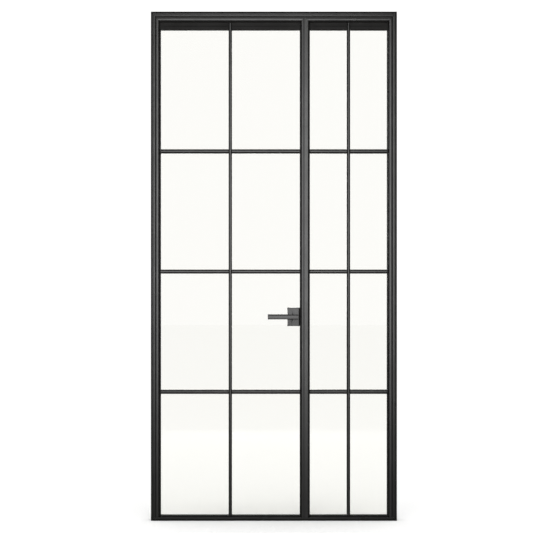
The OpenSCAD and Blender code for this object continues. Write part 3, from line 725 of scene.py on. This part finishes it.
class FinishShelf:
    """Every finish on the door, built once and handed out by its record slot."""

    FINISHES: tuple[Finish, ...] = (
        Finish("frame_powder_coat", "frame_coat", (0.0045, 0.0044, 0.004), (0.0068, 0.0065, 0.006),
               (0.27, 0.33)),
        Finish("sash_powder_coat", "sash_coat", (0.0036, 0.0031, 0.0025), (0.0056, 0.0047, 0.0038),
               (0.4, 0.5), level=0.2),
        Finish("grille_powder_coat", "grille_coat", (0.0075, 0.0073, 0.0068), (0.0105, 0.01, 0.0094),
               (0.27, 0.33)),
        Finish("handle_lacquer", "handle_coat", (0.0095, 0.0088, 0.0082), (0.0125, 0.0115, 0.0108),
               (0.22, 0.28), coat=0.1, level=0.32, relief=0.00002, scale=1400.0),
        Finish("hinge_powder_coat", "hinge_coat", (0.009, 0.0088, 0.0085), (0.013, 0.0126, 0.012),
               (0.3, 0.38)),
        Finish("brushed_steel", "steel", (0.5, 0.5, 0.49), (0.62, 0.62, 0.61), (0.24, 0.34),
               metallic=1.0, relief=0.00002, scale=60.0, brushed=True),
        Finish("black_zinc_screw", "screw_steel", (0.06, 0.06, 0.06), (0.1, 0.1, 0.1), (0.3, 0.4),
               metallic=0.8, relief=0.00002, scale=1600.0),
        Finish("mill_aluminium", "cleat_metal", (0.6, 0.6, 0.6), (0.72, 0.72, 0.73), (0.35, 0.45),
               metallic=1.0, relief=0.00003, scale=40.0, brushed=True),
        Finish("black_gasket", "gasket_rubber", (0.007, 0.006, 0.005), (0.011, 0.0095, 0.008),
               (0.6, 0.75), level=0.12, relief=0.00005, scale=700.0),
        Finish("moulded_packer", "packer_plastic", (0.035, 0.035, 0.035), (0.05, 0.05, 0.05),
               (0.45, 0.55)),
    )

    def __init__(self) -> None:
        """Builds the shared effects and every material."""
        effects = SurfaceEffects()
        self.by_slot = {f.slot: f.build(effects) for f in self.FINISHES}
        glass = ClearGlass()
        self.by_slot[glass.slot] = glass.build(effects)

    def dress(self, obj: bpy.types.Object, slot: str) -> bpy.types.Object:
        """Puts the finish of a slot on an object, as its only material.

        Args:
            obj: The piece or CAD node.
            slot: The record's slot.

        Returns:
            The object.
        """
        obj.data.materials.clear()
        obj.data.materials.append(self.by_slot[slot])
        return obj


# ---- Workshop: places a piece in the model ----


@dataclass
class Workshop:
    """What every sub-assembly needs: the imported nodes, their slots and bodies, and the finishes.

    Attributes:
        nodes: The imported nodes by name.
        shelf: The finishes.
        slots: Each node's record slot.
        bodies: Each node's body.
        lever_axis: A point on the axis that both levers turn about.
    """

    nodes: dict[str, bpy.types.Object]
    shelf: FinishShelf
    slots: dict[str, str]
    bodies: dict[str, str]
    lever_axis: Vector

    def fit(self, piece: bpy.types.Object, *nodes: str) -> bpy.types.Object:
        """Lets a piece stand for CAD nodes: finish, slot and body come from the first.

        Args:
            piece: The finished piece.
            nodes: The nodes that it replaces.

        Returns:
            The piece.
        """
        self.shelf.dress(piece, self.slots[nodes[0]])
        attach(piece, self.bodies[nodes[0]])
        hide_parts(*nodes)
        LOG.info("%s stands for %s", piece.name, ", ".join(nodes))
        return piece

    def soften(
        self, node: str, width: float, segments: int = 2, least: float = 4 * MM, fold: float = 24.0
    ) -> bpy.types.Object:
        """Models a node again with its long edges rounded, as a coated section has them.

        Args:
            node: The CAD node.
            width: Width of the rounding.
            segments: Steps in the rounding.
            least: Length of the shortest edge that is rounded.
            fold: The least angle between the faces at a rounded edge.

        Returns:
            The piece, fitted in the node's place.
        """
        piece = Bench.open_copy(self.nodes[node], node + "_made")
        bpy.ops.mesh.dissolve_limited(angle_limit=math.radians(0.4))
        Bench.leave()
        sharp = folds(piece.data, fold, least)
        Bench.bevel(piece, lambda mesh, edge: edge.index in sharp, width, segments)
        self._keep_inside(piece, node)
        Bench.smooth(piece)
        return self.fit(piece, node)

    @staticmethod
    def _keep_inside(piece: bpy.types.Object, node: str) -> None:
        """Moves back what a rounding has pushed past the node's box, as at a mitre's end.

        Args:
            piece: The rounded piece.
            node: The CAD node.
        """
        low, high = corners(node)
        for vert in piece.data.vertices:
            vert.co = [min(max(c, a), b) for c, a, b in zip(vert.co, low, high)]


# ---- Sub-assemblies ----


@dataclass
class OuterFrame:
    """Jambs, head, sill and mullion, with the seals and cleats they hold.

    Attributes:
        shop: The workshop.
        edge: Rounding of the coated members and the cleats.
        seal_round: Rounding of the weather seals.
    """

    shop: Workshop
    edge: float = 0.7 * MM
    seal_round: float = 1.3 * MM

    def build(self) -> None:
        """Models the coated members, then the seals behind the stops."""
        for node in ("frame_jamb_left", "frame_jamb_right", "frame_head", "frame_sill", "mullion"):
            self.shop.soften(node, self.edge)
        self.shop.soften("frame_seals", self.seal_round, segments=4, least=STRIP_LEAST, fold=SQUARE_FOLD)
        self.shop.soften("frame_corner_cleats", self.edge)
        self.shop.soften("strike_plate", PLATE_EDGE, least=2 * MM)


@dataclass
class Glazing:
    """One bay's sash: stiles, rails, trim bead, gaskets, glass and glazing bars.

    Attributes:
        shop: The workshop.
        bay: The bay's name, which its nodes' names start with.
        stiles: Its two stiles.
        edge: Rounding of the stiles and rails.
        bar_edge: Rounding of the glazing bars.
        gasket_edge: Rounding of the gaskets.
        bead_edge: Rounding of the trim bead.
        block_edge: Rounding of the blocks that the glass stands on.
    """

    shop: Workshop
    bay: str
    stiles: tuple[str, str]
    edge: float = 0.6 * MM
    bar_edge: float = 0.5 * MM
    gasket_edge: float = 0.5 * MM
    bead_edge: float = 0.35 * MM
    block_edge: float = 0.3 * MM

    def build(self) -> None:
        """Models every coated and rubber member of the bay."""
        bay = self.bay
        for node in (*self.stiles, bay + "_top_rail", bay + "_bottom_rail"):
            self.shop.soften(node, self.edge)
        for side in Facing:
            self.shop.soften(f"{bay}_{side.word}_bar", self.bar_edge)
            self.shop.soften(f"{bay}_{side.word}_cross_bars", self.bar_edge)
            self.shop.soften(f"{bay}_seal_{side.word}", self.gasket_edge, least=STRIP_LEAST, fold=SQUARE_FOLD)
        self.shop.soften(bay + "_top_bead", self.bead_edge)
        self.shop.soften(bay + "_setting_blocks", self.block_edge, fold=SQUARE_FOLD)
        glass = self.shop.nodes[bay + "_glass"]
        self.shop.shelf.dress(glass, self.shop.slots[bay + "_glass"])
        LOG.info("%s glazed", bay)


@dataclass
class HardwareMaker:
    """Small fittings that the door repeats: screws, each modelled once and copied.

    Attributes:
        head_r: Radius of a screw head.
        head_t: Thickness of a screw head.
        head_edge: Rounding of the head's rim.
        shank_r: Radius of a screw's shank, at the thread's crests.
        drive_r: Radius of the drive recess, over its corners.
        drive_depth: Depth of the recess.
        drive_sides: Sides of the recess, a hexagon.
        pitch: Distance from one turn of the thread to the next.
        root: Radius at the thread's roots, as a share of the shank's.
        tip: Length of the pointed tip.
        tip_end: Radius at the tip's end, as a share of the shank's.
        sides: How many sides the head and the shank have.
    """

    head_r: float = 3.6 * MM
    head_t: float = 1.6 * MM
    head_edge: float = 0.25 * MM
    shank_r: float = 2.0 * MM
    drive_r: float = 1.5 * MM
    drive_depth: float = 0.9 * MM
    drive_sides: int = 6
    pitch: float = 0.8 * MM
    root: float = 0.86
    tip: float = 2.0 * MM
    tip_end: float = 0.12
    sides: int = 24

    def screw(self, length: float) -> bpy.types.Object:
        """Models one screw at the origin, head up, with its tip down -Z.

        Args:
            length: Length from the top of the head to the tip.

        Returns:
            The screw.
        """
        head = Bench.rod("screw_head", (0, 0, -self.head_t), (0, 0, 0), self.head_r, self.sides)
        Bench.choose(head, Element.FACE, lambda mesh, face: face.normal.z > 0.9)
        bpy.ops.mesh.bevel(offset=self.head_edge, segments=2, affect="EDGES", clamp_overlap=False)
        Bench.leave()
        socket = Bench.rod("drive_cut", (0, 0, -self.drive_depth), (0, 0, MM), self.drive_r, self.drive_sides)
        Bench.cut(head, socket)
        return Bench.join("screw", [head, self._thread(length)])

    def _thread(self, length: float) -> bpy.types.Object:
        """Models the threaded shank as rings of crests and roots, with a pointed tip.

        Args:
            length: Length of the whole screw.

        Returns:
            The shank.
        """
        body = length - self.head_t - self.tip
        end = -self.head_t - body
        turns = max(2, int(body / self.pitch))
        shank = Bench.rod("shank", (0, 0, end), (0, 0, -self.head_t), self.shank_r, self.sides)
        Bench.choose(shank, Element.EDGE, along(Axis.Z))
        bpy.ops.mesh.subdivide(number_cuts=2 * turns - 1)
        Bench.leave()
        step = body / (2 * turns)
        root = lambda mesh, v: round((-v.co.z - self.head_t) / step) % 2 == 1
        Bench.choose(shank, Element.VERT, root)
        bpy.ops.transform.resize(value=(self.root, self.root, 1.0), center_override=(0, 0, 0))
        Bench.leave()
        Bench.choose(shank, Element.FACE, lambda mesh, f: f.normal.z < -0.9 and f.center.z < end + ON_LEVEL)
        bpy.ops.mesh.extrude_region_move(TRANSFORM_OT_translate={"value": (0, 0, -self.tip)})
        bpy.ops.transform.resize(
            value=(self.tip_end, self.tip_end, 1.0), center_override=(0, 0, end - self.tip)
        )
        Bench.leave()
        return shank

    def place(
        self, model: bpy.types.Object, point: Sequence[float], out: Sequence[float]
    ) -> bpy.types.Object:
        """Copies a screw to a place.

        Args:
            model: The screw at the origin.
            point: Centre of the top of its head.
            out: Direction that its head faces.

        Returns:
            The copy.
        """
        copy = Bench.twin(model, "screw_copy")
        copy.rotation_mode = "QUATERNION"
        copy.rotation_quaternion = Vector(out).to_track_quat("Z", "Y")
        copy.location = point
        return Bench.settle(copy)


def islands(obj: bpy.types.Object) -> list[tuple[Vector, Vector]]:
    """Boxes of the loose solids in a node.

    Args:
        obj: The node.

    Returns:
        The lowest and highest corner of each solid, in order of height.
    """
    Bench.open_copy(obj, "islands_probe")
    bpy.ops.mesh.separate(type="LOOSE")
    Bench.leave()
    boxes = []
    for part in list(bpy.context.selected_objects):
        points = [v.co for v in part.data.vertices]
        low = Vector([min(p[i] for p in points) for i in Axis])
        high = Vector([max(p[i] for p in points) for i in Axis])
        boxes.append((low, high))
        bpy.data.objects.remove(part)
    return sorted(boxes, key=lambda b: (round(b[0].z, 5), b[0].x))


@dataclass
class Screws:
    """Every screw of the door, with a drive recess and a thread.

    Attributes:
        shop: The workshop.
        maker: Makes and copies the screws.
    """

    shop: Workshop
    maker: HardwareMaker = field(default_factory=HardwareMaker)

    def build(self) -> None:
        """Models each group of screws where the solids have them."""
        for node in ("frame_screws", "leaf_screws", "lock_cover_screws"):
            self._group(node)

    def _group(self, node: str) -> None:
        """Models one node's screws, one model for each length, and lets them stand for it.

        Args:
            node: The CAD node.
        """
        models: dict[float, bpy.types.Object] = {}
        copies = []
        for low, high in islands(self.shop.nodes[node]):
            size = high - low
            axis = max(Axis, key=lambda i: size[i])
            length = round(size[axis] / MM, 1)
            if length not in models:
                models[length] = self.maker.screw(length * MM)
            point = (low + high) / 2
            out = self._outward(node, low, high, axis)
            point[axis] = high[axis] if out > 0 else low[axis]
            direction = Vector((0.0, 0.0, 0.0))
            direction[axis] = out
            copies.append(self.maker.place(models[length], point, direction))
        for model in models.values():
            bpy.data.objects.remove(model)
        piece = Bench.join(node + "_made", copies)
        Bench.smooth(piece)
        self.shop.fit(piece, node)

    def _outward(self, node: str, low: Vector, high: Vector, axis: Axis) -> float:
        """Which way a screw's head faces: towards the wider end of its solid.

        Args:
            node: The CAD node.
            low: Lowest corner of the screw's solid.
            high: Highest corner of it.
            axis: The axis that it runs along.

        Returns:
            1 or -1, along that axis.
        """
        mesh = self.shop.nodes[node].data
        mid = (low + high) / 2
        reach = (self.maker.shank_r + self.maker.head_r) / 2
        for v in mesh.vertices:
            side = v.co - mid
            height = side[axis]
            side[axis] = 0.0
            inside = all(low[i] - NEAR <= v.co[i] <= high[i] + NEAR for i in Axis)
            if inside and side.length > reach:
                return 1.0 if height > 0 else -1.0
        return 1.0


@dataclass
class Lever:
    """Flat bar lever on a round neck, on one side of the leaf.

    Attributes:
        shop: The workshop.
        side: Which side of the glass it is on.
        bar_t: Thickness of the bar.
        face_round: Rounding of the long edges that the hand meets.
        back_round: Rounding of the long edges behind them.
        end_round: Rounding of the ends.
        collar_r: Radius of the collar where the neck meets the cover.
        collar_t: Thickness of that collar.
        collar_gap: Gap between the collar and the cover.
        collar_edge: Rounding of the collar's rim.
        neck_r: Radius of the neck.
        neck_into: How far the neck runs into the bar.
        cove: Length over which the neck widens towards the bar.
        widen: How much it widens there, as a share of its radius.
        facets: How many sides the neck and the collar have.
    """

    shop: Workshop
    side: Facing
    bar_t: float = 12.0 * MM
    face_round: float = 4.2 * MM
    back_round: float = 2.4 * MM
    end_round: float = 1.0 * MM
    collar_r: float = 12.0 * MM
    collar_t: float = 1.6 * MM
    collar_gap: float = 0.3 * MM
    collar_edge: float = 0.6 * MM
    neck_r: float = 10.0 * MM
    neck_into: float = 1.0 * MM
    cove: float = 5.0 * MM
    widen: float = 0.16
    facets: int = 64

    def __post_init__(self) -> None:
        """Takes the lever's place from its node."""
        self.node = "lever_" + self.side.word
        self.out = self.side.value
        self.outer, self.inner = levels(self.node, self.side)
        self.back = self.outer - self.out * self.bar_t
        self.pivot = self.shop.lever_axis

    def build(self) -> None:
        """Models the bar, the neck and the collar, and joins them in the node's place."""
        piece = Bench.join(self.node + "_made", [self._bar(), self._neck(), self._collar()])
        Bench.smooth(piece, 40.0)
        self.shop.fit(piece, self.node)

    def _bar(self) -> bpy.types.Object:
        """Models the flat bar, roundest where the hand meets it.

        Returns:
            The bar.
        """
        low, high = corners(self.node)
        start = (low.x, min(self.outer, self.back), low.z)
        bar = Bench.cube(self.node + "_bar", start, (high.x, max(self.outer, self.back), high.z))
        lengthwise = along(Axis.X, 50 * MM)
        for depth, width, segments in ((self.outer, self.face_round, 6), (self.back, self.back_round, 4)):
            here = level(Axis.Y, depth)
            Bench.bevel(bar, lambda mesh, e: lengthwise(mesh, e) and here(mesh, e), width, segments)
        left, right = level(Axis.X, low.x), level(Axis.X, high.x)
        return Bench.bevel(bar, lambda mesh, e: left(mesh, e) or right(mesh, e), self.end_round, 3)

    def _neck(self) -> bpy.types.Object:
        """Models the neck from the bar to the spindle, widened towards the bar in a short cove.

        Returns:
            The neck.
        """
        x, _, z = self.pivot
        start = (x, self.back + self.out * self.neck_into, z)
        neck = Bench.rod(self.node + "_neck", start, (x, self.inner, z), self.neck_r, self.facets)
        Bench.choose(neck, Element.EDGE, along(Axis.Y))
        bpy.ops.mesh.subdivide(number_cuts=24)
        Bench.leave()
        for y in sorted({round(v.co.y, 6) for v in neck.data.vertices}):
            depth = abs(y - self.back)
            if depth >= self.cove or (y - self.back) * self.out > NEAR:
                continue
            grow = 1.0 + self.widen * (1.0 - math.sqrt(1.0 - (1.0 - depth / self.cove) ** 2))
            Bench.choose(neck, Element.VERT, lambda mesh, v: abs(v.co.y - y) < NEAR)
            bpy.ops.transform.resize(value=(grow, 1.0, grow), center_override=(x, y, z))
            Bench.leave()
        return neck

    def _collar(self) -> bpy.types.Object:
        """Models the collar that hides the cover's hole round the neck.

        Returns:
            The collar.
        """
        x, _, z = self.pivot
        cover, _ = levels("lock_cover_" + self.side.word, self.side)
        top = cover + self.out * (self.collar_t + self.collar_gap)
        foot = cover + self.out * self.collar_gap
        collar = Bench.rod(self.node + "_collar", (x, top, z), (x, foot, z), self.collar_r, self.facets)
        return Bench.bevel(collar, level(Axis.Y, top), self.collar_edge, 3)


@dataclass
class LockCover:
    """Flat cover box over the lock case, with a raised rim round a creased face.

    Attributes:
        shop: The workshop.
        side: Which side of the glass it is on.
        corner: Rounding of the box's corners.
        edge: Rounding round the outer face.
        rim: Width of the raised rim.
        step: Width of the step from the rim down to the face.
        sink: How far the face lies below the rim.
        crease: How far the face rises to its middle line.
        flute: Half the width of the shallow upright flute through the neck.
        flute_sink: Depth of that flute.
        wall: Thickness of the box's sides.
        skin: Thickness of its outer face with the rim.
        neck_hole: Radius of the hole for the lever's neck.
        case_gap: Gap round the lock case where it enters the box.
        case_reach: How far the opening for the case is cut to each side of the box's end.
        bore_r: Radius of the sinkings for the cover screws.
        bore_depth: Depth of those sinkings.
        bore_inset: Distance from the case's ends to the cover screws.
        margin: Width at the box's edges that is surely outside the sunk face.
    """

    shop: Workshop
    side: Facing
    corner: float = 1.6 * MM
    edge: float = 0.7 * MM
    rim: float = 2.2 * MM
    step: float = 0.35 * MM
    sink: float = 0.9 * MM
    crease: float = 0.6 * MM
    flute: float = 9.0 * MM
    flute_sink: float = 0.9 * MM
    wall: float = 1.4 * MM
    skin: float = 2.6 * MM
    neck_hole: float = 10.5 * MM
    case_gap: float = 0.3 * MM
    case_reach: float = 4.0 * MM
    bore_r: float = 3.7 * MM
    bore_depth: float = 1.7 * MM
    bore_inset: float = 7.0 * MM
    margin: float = 2.0 * MM

    def __post_init__(self) -> None:
        """Takes the cover's place from its node."""
        self.node = "lock_cover_" + self.side.word
        self.out = self.side.value
        self.low, self.high = corners(self.node)
        self.face_y, _ = levels(self.node, self.side)
        self.pivot = self.shop.lever_axis

    def build(self) -> None:
        """Models the cover in its node's place."""
        box = Bench.cube(self.node + "_made", self.low, self.high)
        Bench.bevel(box, along(Axis.Y), self.corner, 4)
        Bench.choose(box, Element.FACE, lambda mesh, f: f.normal.y * self.out > 0.9)
        bpy.ops.mesh.bevel(offset=self.edge, segments=3, affect="EDGES", clamp_overlap=False)
        Bench.leave()
        self._sink_face(box)
        self._crease_face(box)
        self._hollow(box)
        self._pierce(box)
        Bench.smooth(box, 30.0)
        self.shop.fit(box, self.node)

    def _sink_face(self, box: bpy.types.Object) -> None:
        """Sinks the outer face inside its rim, and divides it for the flute and the crease.

        Args:
            box: The cover.
        """
        face = lambda mesh, f: f.normal.y * self.out > 0.99 and abs(f.center.y - self.face_y) < ON_LEVEL
        Bench.choose(box, Element.FACE, face)
        bpy.ops.mesh.inset(thickness=self.rim, depth=0.0)
        bpy.ops.mesh.inset(thickness=self.step, depth=-self.sink)
        for x in (self.pivot.x - self.flute, self.pivot.x, self.pivot.x + self.flute):
            bpy.ops.mesh.bisect(plane_co=(x, 0, 0), plane_no=(1, 0, 0))
            bpy.ops.mesh.select_all(action="DESELECT")
            Bench.leave()
            Bench.choose(box, Element.FACE, self._is_sunk)
        middle = (self.low + self.high) / 2
        bpy.ops.mesh.bisect(plane_co=(0, 0, middle.z), plane_no=(0, 0, 1))
        Bench.leave()

    def _is_sunk(self, mesh: bpy.types.Mesh, face: bpy.types.MeshPolygon) -> bool:
        """Whether a face belongs to the sunk outer face.

        Args:
            mesh: The cover's mesh.
            face: The face.

        Returns:
            True if it does.
        """
        inset, place = self.margin, face.center
        across = self.low.x + inset < place.x < self.high.x - inset
        upright = self.low.z + inset < place.z < self.high.z - inset
        return across and upright and face.normal.y * self.out > 0.9

    def _crease_face(self, box: bpy.types.Object) -> None:
        """Lowers the middle of the sunk face for the flute, then raises its middle line.

        Args:
            box: The cover.
        """
        sunk = self.face_y - self.out * self.sink
        mid_z = (self.low.z + self.high.z) / 2
        flute = lambda mesh, v: abs(v.co.x - self.pivot.x) < NEAR and abs(v.co.y - sunk) < ON_LEVEL
        crease = lambda mesh, v: abs(v.co.z - mid_z) < NEAR and abs(v.co.y - sunk) < 2 * self.sink
        for line, rise in ((flute, -self.flute_sink), (crease, self.crease)):
            Bench.choose(box, Element.VERT, line)
            bpy.ops.transform.translate(value=(0, self.out * rise, 0))
            Bench.leave()

    def _hollow(self, box: bpy.types.Object) -> None:
        """Hollows the cover from the side of the leaf.

        Args:
            box: The cover.
        """
        depth = self.high.y - self.low.y - self.skin
        Bench.choose(box, Element.FACE, lambda mesh, f: f.normal.y * self.out < -0.9)
        bpy.ops.mesh.inset(thickness=self.wall, depth=0.0)
        bpy.ops.mesh.extrude_region_move(TRANSFORM_OT_translate={"value": (0, self.out * depth, 0)})
        Bench.leave()

    def _pierce(self, box: bpy.types.Object) -> None:
        """Opens the cover for the neck and the lock case, and at the rear for the cover screws.

        Args:
            box: The cover.
        """
        x, _, z = self.pivot
        neck = ((x, self.low.y - MM, z), (x, self.high.y + MM, z))
        Bench.cut(box, Bench.rod("neck_hole", *neck, self.neck_hole, 64))
        (_, _, case_foot), (_, case_rear, case_top) = corners("lock_case")
        (_, lid_front, _), _ = corners("lock_case_lid")
        gap, reach, end = self.case_gap, self.case_reach, self.high.x
        start = (end - reach, lid_front - gap, case_foot - gap)
        stop = (end + reach, case_rear + gap, case_top + gap)
        Bench.cut(box, Bench.cube("case_slot", start, stop))
        if self.side is Facing.REAR:
            for height in (case_foot + self.bore_inset, case_top - self.bore_inset):
                bore = ((x, self.face_y - self.bore_depth, height), (x, self.face_y + MM, height))
                Bench.cut(box, Bench.rod("screw_bore", *bore, self.bore_r, 32))


@dataclass
class Lock:
    """The lock: a cover on each side, and what they hide.

    Attributes:
        shop: The workshop.
        bolt_edge: Rounding of the latch bolt.
        sheet_edge: Rounding of the case, its lid and the follower.
        spindle_edge: Rounding of the square spindle.
        strip_edge: Rounding of the rubber strips beside the covers.
    """

    shop: Workshop
    bolt_edge: float = 0.4 * MM
    sheet_edge: float = 0.2 * MM
    spindle_edge: float = 0.5 * MM
    strip_edge: float = 0.4 * MM

    def build(self) -> None:
        """Models both covers, and the other parts of the lock."""
        for side in Facing:
            LockCover(self.shop, side).build()
        self.shop.soften("lock_faceplate", PLATE_EDGE, least=2 * MM)
        self.shop.soften("latch_bolt", self.bolt_edge, least=3 * MM)
        for node in ("lock_case", "lock_case_lid"):
            self.shop.soften(node, self.sheet_edge, least=3 * MM)
        self.shop.soften("spindle", self.spindle_edge)
        self.shop.soften("lock_follower", self.sheet_edge)
        self.shop.soften("lock_strips", self.strip_edge, segments=3, least=2 * MM, fold=SQUARE_FOLD)


@dataclass
class Hinges:
    """Three butt hinges at the hanging stile's rear side, with turned pins.

    Attributes:
        shop: The workshop.
        edge: Rounding of the wings.
        pin_r: Radius of a pin.
        pin_foot: Rounding of its lower end.
        finial_r: Radius of a finial.
        finial_t: Height of it.
        dome: Rounding of its upper rim.
    """

    shop: Workshop
    edge: float = 0.4 * MM
    pin_r: float = 4.0 * MM
    pin_foot: float = 1.2 * MM
    finial_r: float = 6.0 * MM
    finial_t: float = 3.0 * MM
    dome: float = 2.4 * MM

    def build(self) -> None:
        """Models the wings, then the pins, each with a domed finial."""
        for place in ("top", "middle", "bottom"):
            for wing in ("frame", "leaf"):
                self.shop.soften(f"hinge_{place}_{wing}_wing", self.edge, least=5 * MM)
        pins = [self._pin(low, high) for low, high in islands(self.shop.nodes["hinge_pins"])]
        piece = Bench.join("hinge_pins_made", pins)
        Bench.smooth(piece, 40.0)
        self.shop.fit(piece, "hinge_pins")

    def _pin(self, low: Vector, high: Vector) -> bpy.types.Object:
        """Models one pin with a domed finial on its upper end.

        Args:
            low: Lowest corner of the pin's solid.
            high: Highest corner of it.

        Returns:
            The pin.
        """
        x, y, _ = (low + high) / 2
        neck = (x, y, high.z - self.finial_t)
        pin = Bench.rod("pin", (x, y, low.z), neck, self.pin_r, 48)
        cap = Bench.rod("finial", neck, (x, y, high.z), self.finial_r, 48)
        Bench.bevel(cap, level(Axis.Z, high.z), self.dome, 6)
        Bench.bevel(pin, level(Axis.Z, low.z), self.pin_foot, 4)
        return Bench.join("pin", [pin, cap])


@dataclass(frozen=True)
class Softbox:
    """Soft area light, kept off the panes so that no bright patch hides what is behind them.

    Attributes:
        name: The light's name.
        place: Its centre.
        turn: Its turn, in degrees.
        size: Its width and height.
        watts: Its power.
        spared: Further objects that it is kept off.
    """

    name: str
    place: Triple
    turn: Triple
    size: tuple[float, float]
    watts: float
    spared: tuple[str, ...] = ()

    def build(self) -> None:
        """Adds the light and the list of what it is kept off."""
        light = bpy.data.lights.new(self.name, "AREA")
        light.shape = "RECTANGLE"
        light.size, light.size_y = self.size
        light.energy = self.watts
        lamp = bpy.data.objects.new(self.name, light)
        lamp.location = self.place
        lamp.rotation_euler = [math.radians(t) for t in self.turn]
        lamp.visible_camera = False
        group = bpy.data.collections.new(self.name + "_spares")
        for other in (*PANES, *self.spared):
            group.objects.link(bpy.data.objects[other])
        for item in group.collection_objects:
            item.light_linking.link_state = "EXCLUDE"
        lamp.light_linking.receiver_collection = group
        bpy.context.scene.collection.objects.link(lamp)


@dataclass
class Studio:
    """Pale floor, soft lights and the camera.

    Attributes:
        distance: From the camera to the frame's front face.
        span: Width that the picture covers at that face.
        eye: The camera's height.
        side: The camera's place across the door.
        floor_size: Side of the floor.
        white: Brightness of the surround.
        mirrored: Brightness of it as polished surfaces see it.
        softboxes: The lights.
    """

    distance: float = 9.0
    span: float = 2.6043
    eye: float = 1.2435
    side: float = -0.0363
    floor_size: float = 60.0
    white: float = 1.06
    mirrored: float = 0.03
    softboxes: tuple[Softbox, ...] = (
        Softbox("front_softbox", (-0.1, -5.0, 1.7), (90, 0, 0), (1.9, 2.6), 102.0),
        Softbox(
            "rear_softbox", (-0.9, 4.6, 2.2), (-82, 0, 0), (2.6, 2.6), 90.0, ("floor", "frame_sill_made")
        ),
        Softbox("top_softbox", (0.0, -3.0, 4.4), (35, 0, 0), (2.6, 1.0), 15.0),
    )

    def build(self) -> None:
        """Builds the floor, the world, the lights and the camera."""
        self._floor()
        self._world()
        for softbox in self.softboxes:
            softbox.build()
        self._camera()

    def _floor(self) -> None:
        """Adds the plain pale floor, which polished surfaces see as a darker one."""
        Bench.clear()
        bpy.ops.mesh.primitive_plane_add(size=self.floor_size, location=(0, 0, 0))
        floor = bpy.context.active_object
        floor.name = "floor"
        material, net, shader = new_material("pale_floor")
        net.fill(shader, Base_Color=(0.97, 0.97, 0.965, 1.0), Roughness=0.9, Specular_IOR_Level=0.0)
        dim = net.add("BsdfDiffuse", Color=(0.62, 0.62, 0.6, 1.0))
        self._dim_in_reflections(net, shader, dim, "Material Output")
        floor.data.materials.append(material)
        floor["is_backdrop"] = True

    @staticmethod
    def _dim_in_reflections(net: NodeTree, bright: bpy.types.Node, dim: bpy.types.Node, output: str) -> None:
        """Shows the dim shader to rays that have met a polished surface, and the bright one to all others.

        Args:
            net: The tree.
            bright: The bright shader.
            dim: The dim shader.
            output: Name of the tree's output node.
        """
        path = net.add("LightPath")
        past = net.add("Math", operation="GREATER_THAN")
        past.inputs[1].default_value = 0.5
        mix = net.add("MixShader")
        net.link(path.outputs["Glossy Depth"], past.inputs[0])
        net.link(past.outputs[0], mix.inputs[0])
        net.link(bright.outputs[0], mix.inputs[1])
        net.link(dim.outputs[0], mix.inputs[2])
        net.link(mix.outputs[0], net.tree.nodes[output].inputs["Surface"])

    def _world(self) -> None:
        """Sets a white surround that is dim in reflections."""
        world = bpy.data.worlds.new("studio")
        bpy.context.scene.world = world
        world.use_nodes = True
        net = NodeTree(world.node_tree)
        bright = net.fill(net.tree.nodes["Background"], Color=(1.0, 1.0, 1.0, 1.0), Strength=self.white)
        dim = net.add("Background", Color=(1.0, 0.99, 0.97, 1.0), Strength=self.mirrored)
        self._dim_in_reflections(net, bright, dim, "World Output")

    def _camera(self) -> None:
        """Adds the camera, square on to the front of the frame."""
        low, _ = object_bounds()
        data = bpy.data.cameras.new("camera")
        camera = bpy.data.objects.new("camera", data)
        front, _ = levels("frame_jamb_left", Facing.FRONT)
        camera.location = (self.side, front - self.distance, Vector(low).z + self.eye)
        camera.rotation_euler = (math.radians(90), 0, 0)
        data.lens = data.sensor_width * self.distance / self.span
        data.clip_end = 100.0
        bpy.context.scene.collection.objects.link(camera)
        bpy.context.scene.camera = camera
        bpy.context.scene.view_settings.view_transform = "Standard"


def main() -> None:
    """Builds the door piece by piece, then the studio round it."""
    logging.basicConfig(level=logging.INFO, format="%(message)s")
    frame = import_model()
    record = frame["record"]
    slots = {part["node"]: part["material_slot"] for part in record["subparts"]}
    bodies = {n: body for body, nodes in record["behaviour"]["bodies"].items() for n in nodes}
    lever_axis = next(joint["pos_m"] for joint in frame["joints"] if joint["name"] == "lever_turn")
    shelf = FinishShelf()
    for node, obj in frame["nodes"].items():
        shelf.dress(obj, slots[node])
    shop = Workshop(frame["nodes"], shelf, slots, bodies, Vector(lever_axis))
    OuterFrame(shop).build()
    Glazing(shop, "leaf", ("leaf_stile_hinge", "leaf_stile_lock")).build()
    Glazing(shop, "sidelight", ("sidelight_stile_left", "sidelight_stile_right")).build()
    Hinges(shop).build()
    Lock(shop).build()
    for side in Facing:
        Lever(shop, side).build()
    Screws(shop).build()
    shop.soften("sidelight_fixing_plates", 0.4 * MM, least=5 * MM)
    Studio().build()


if __name__ == "__main__":
    main()
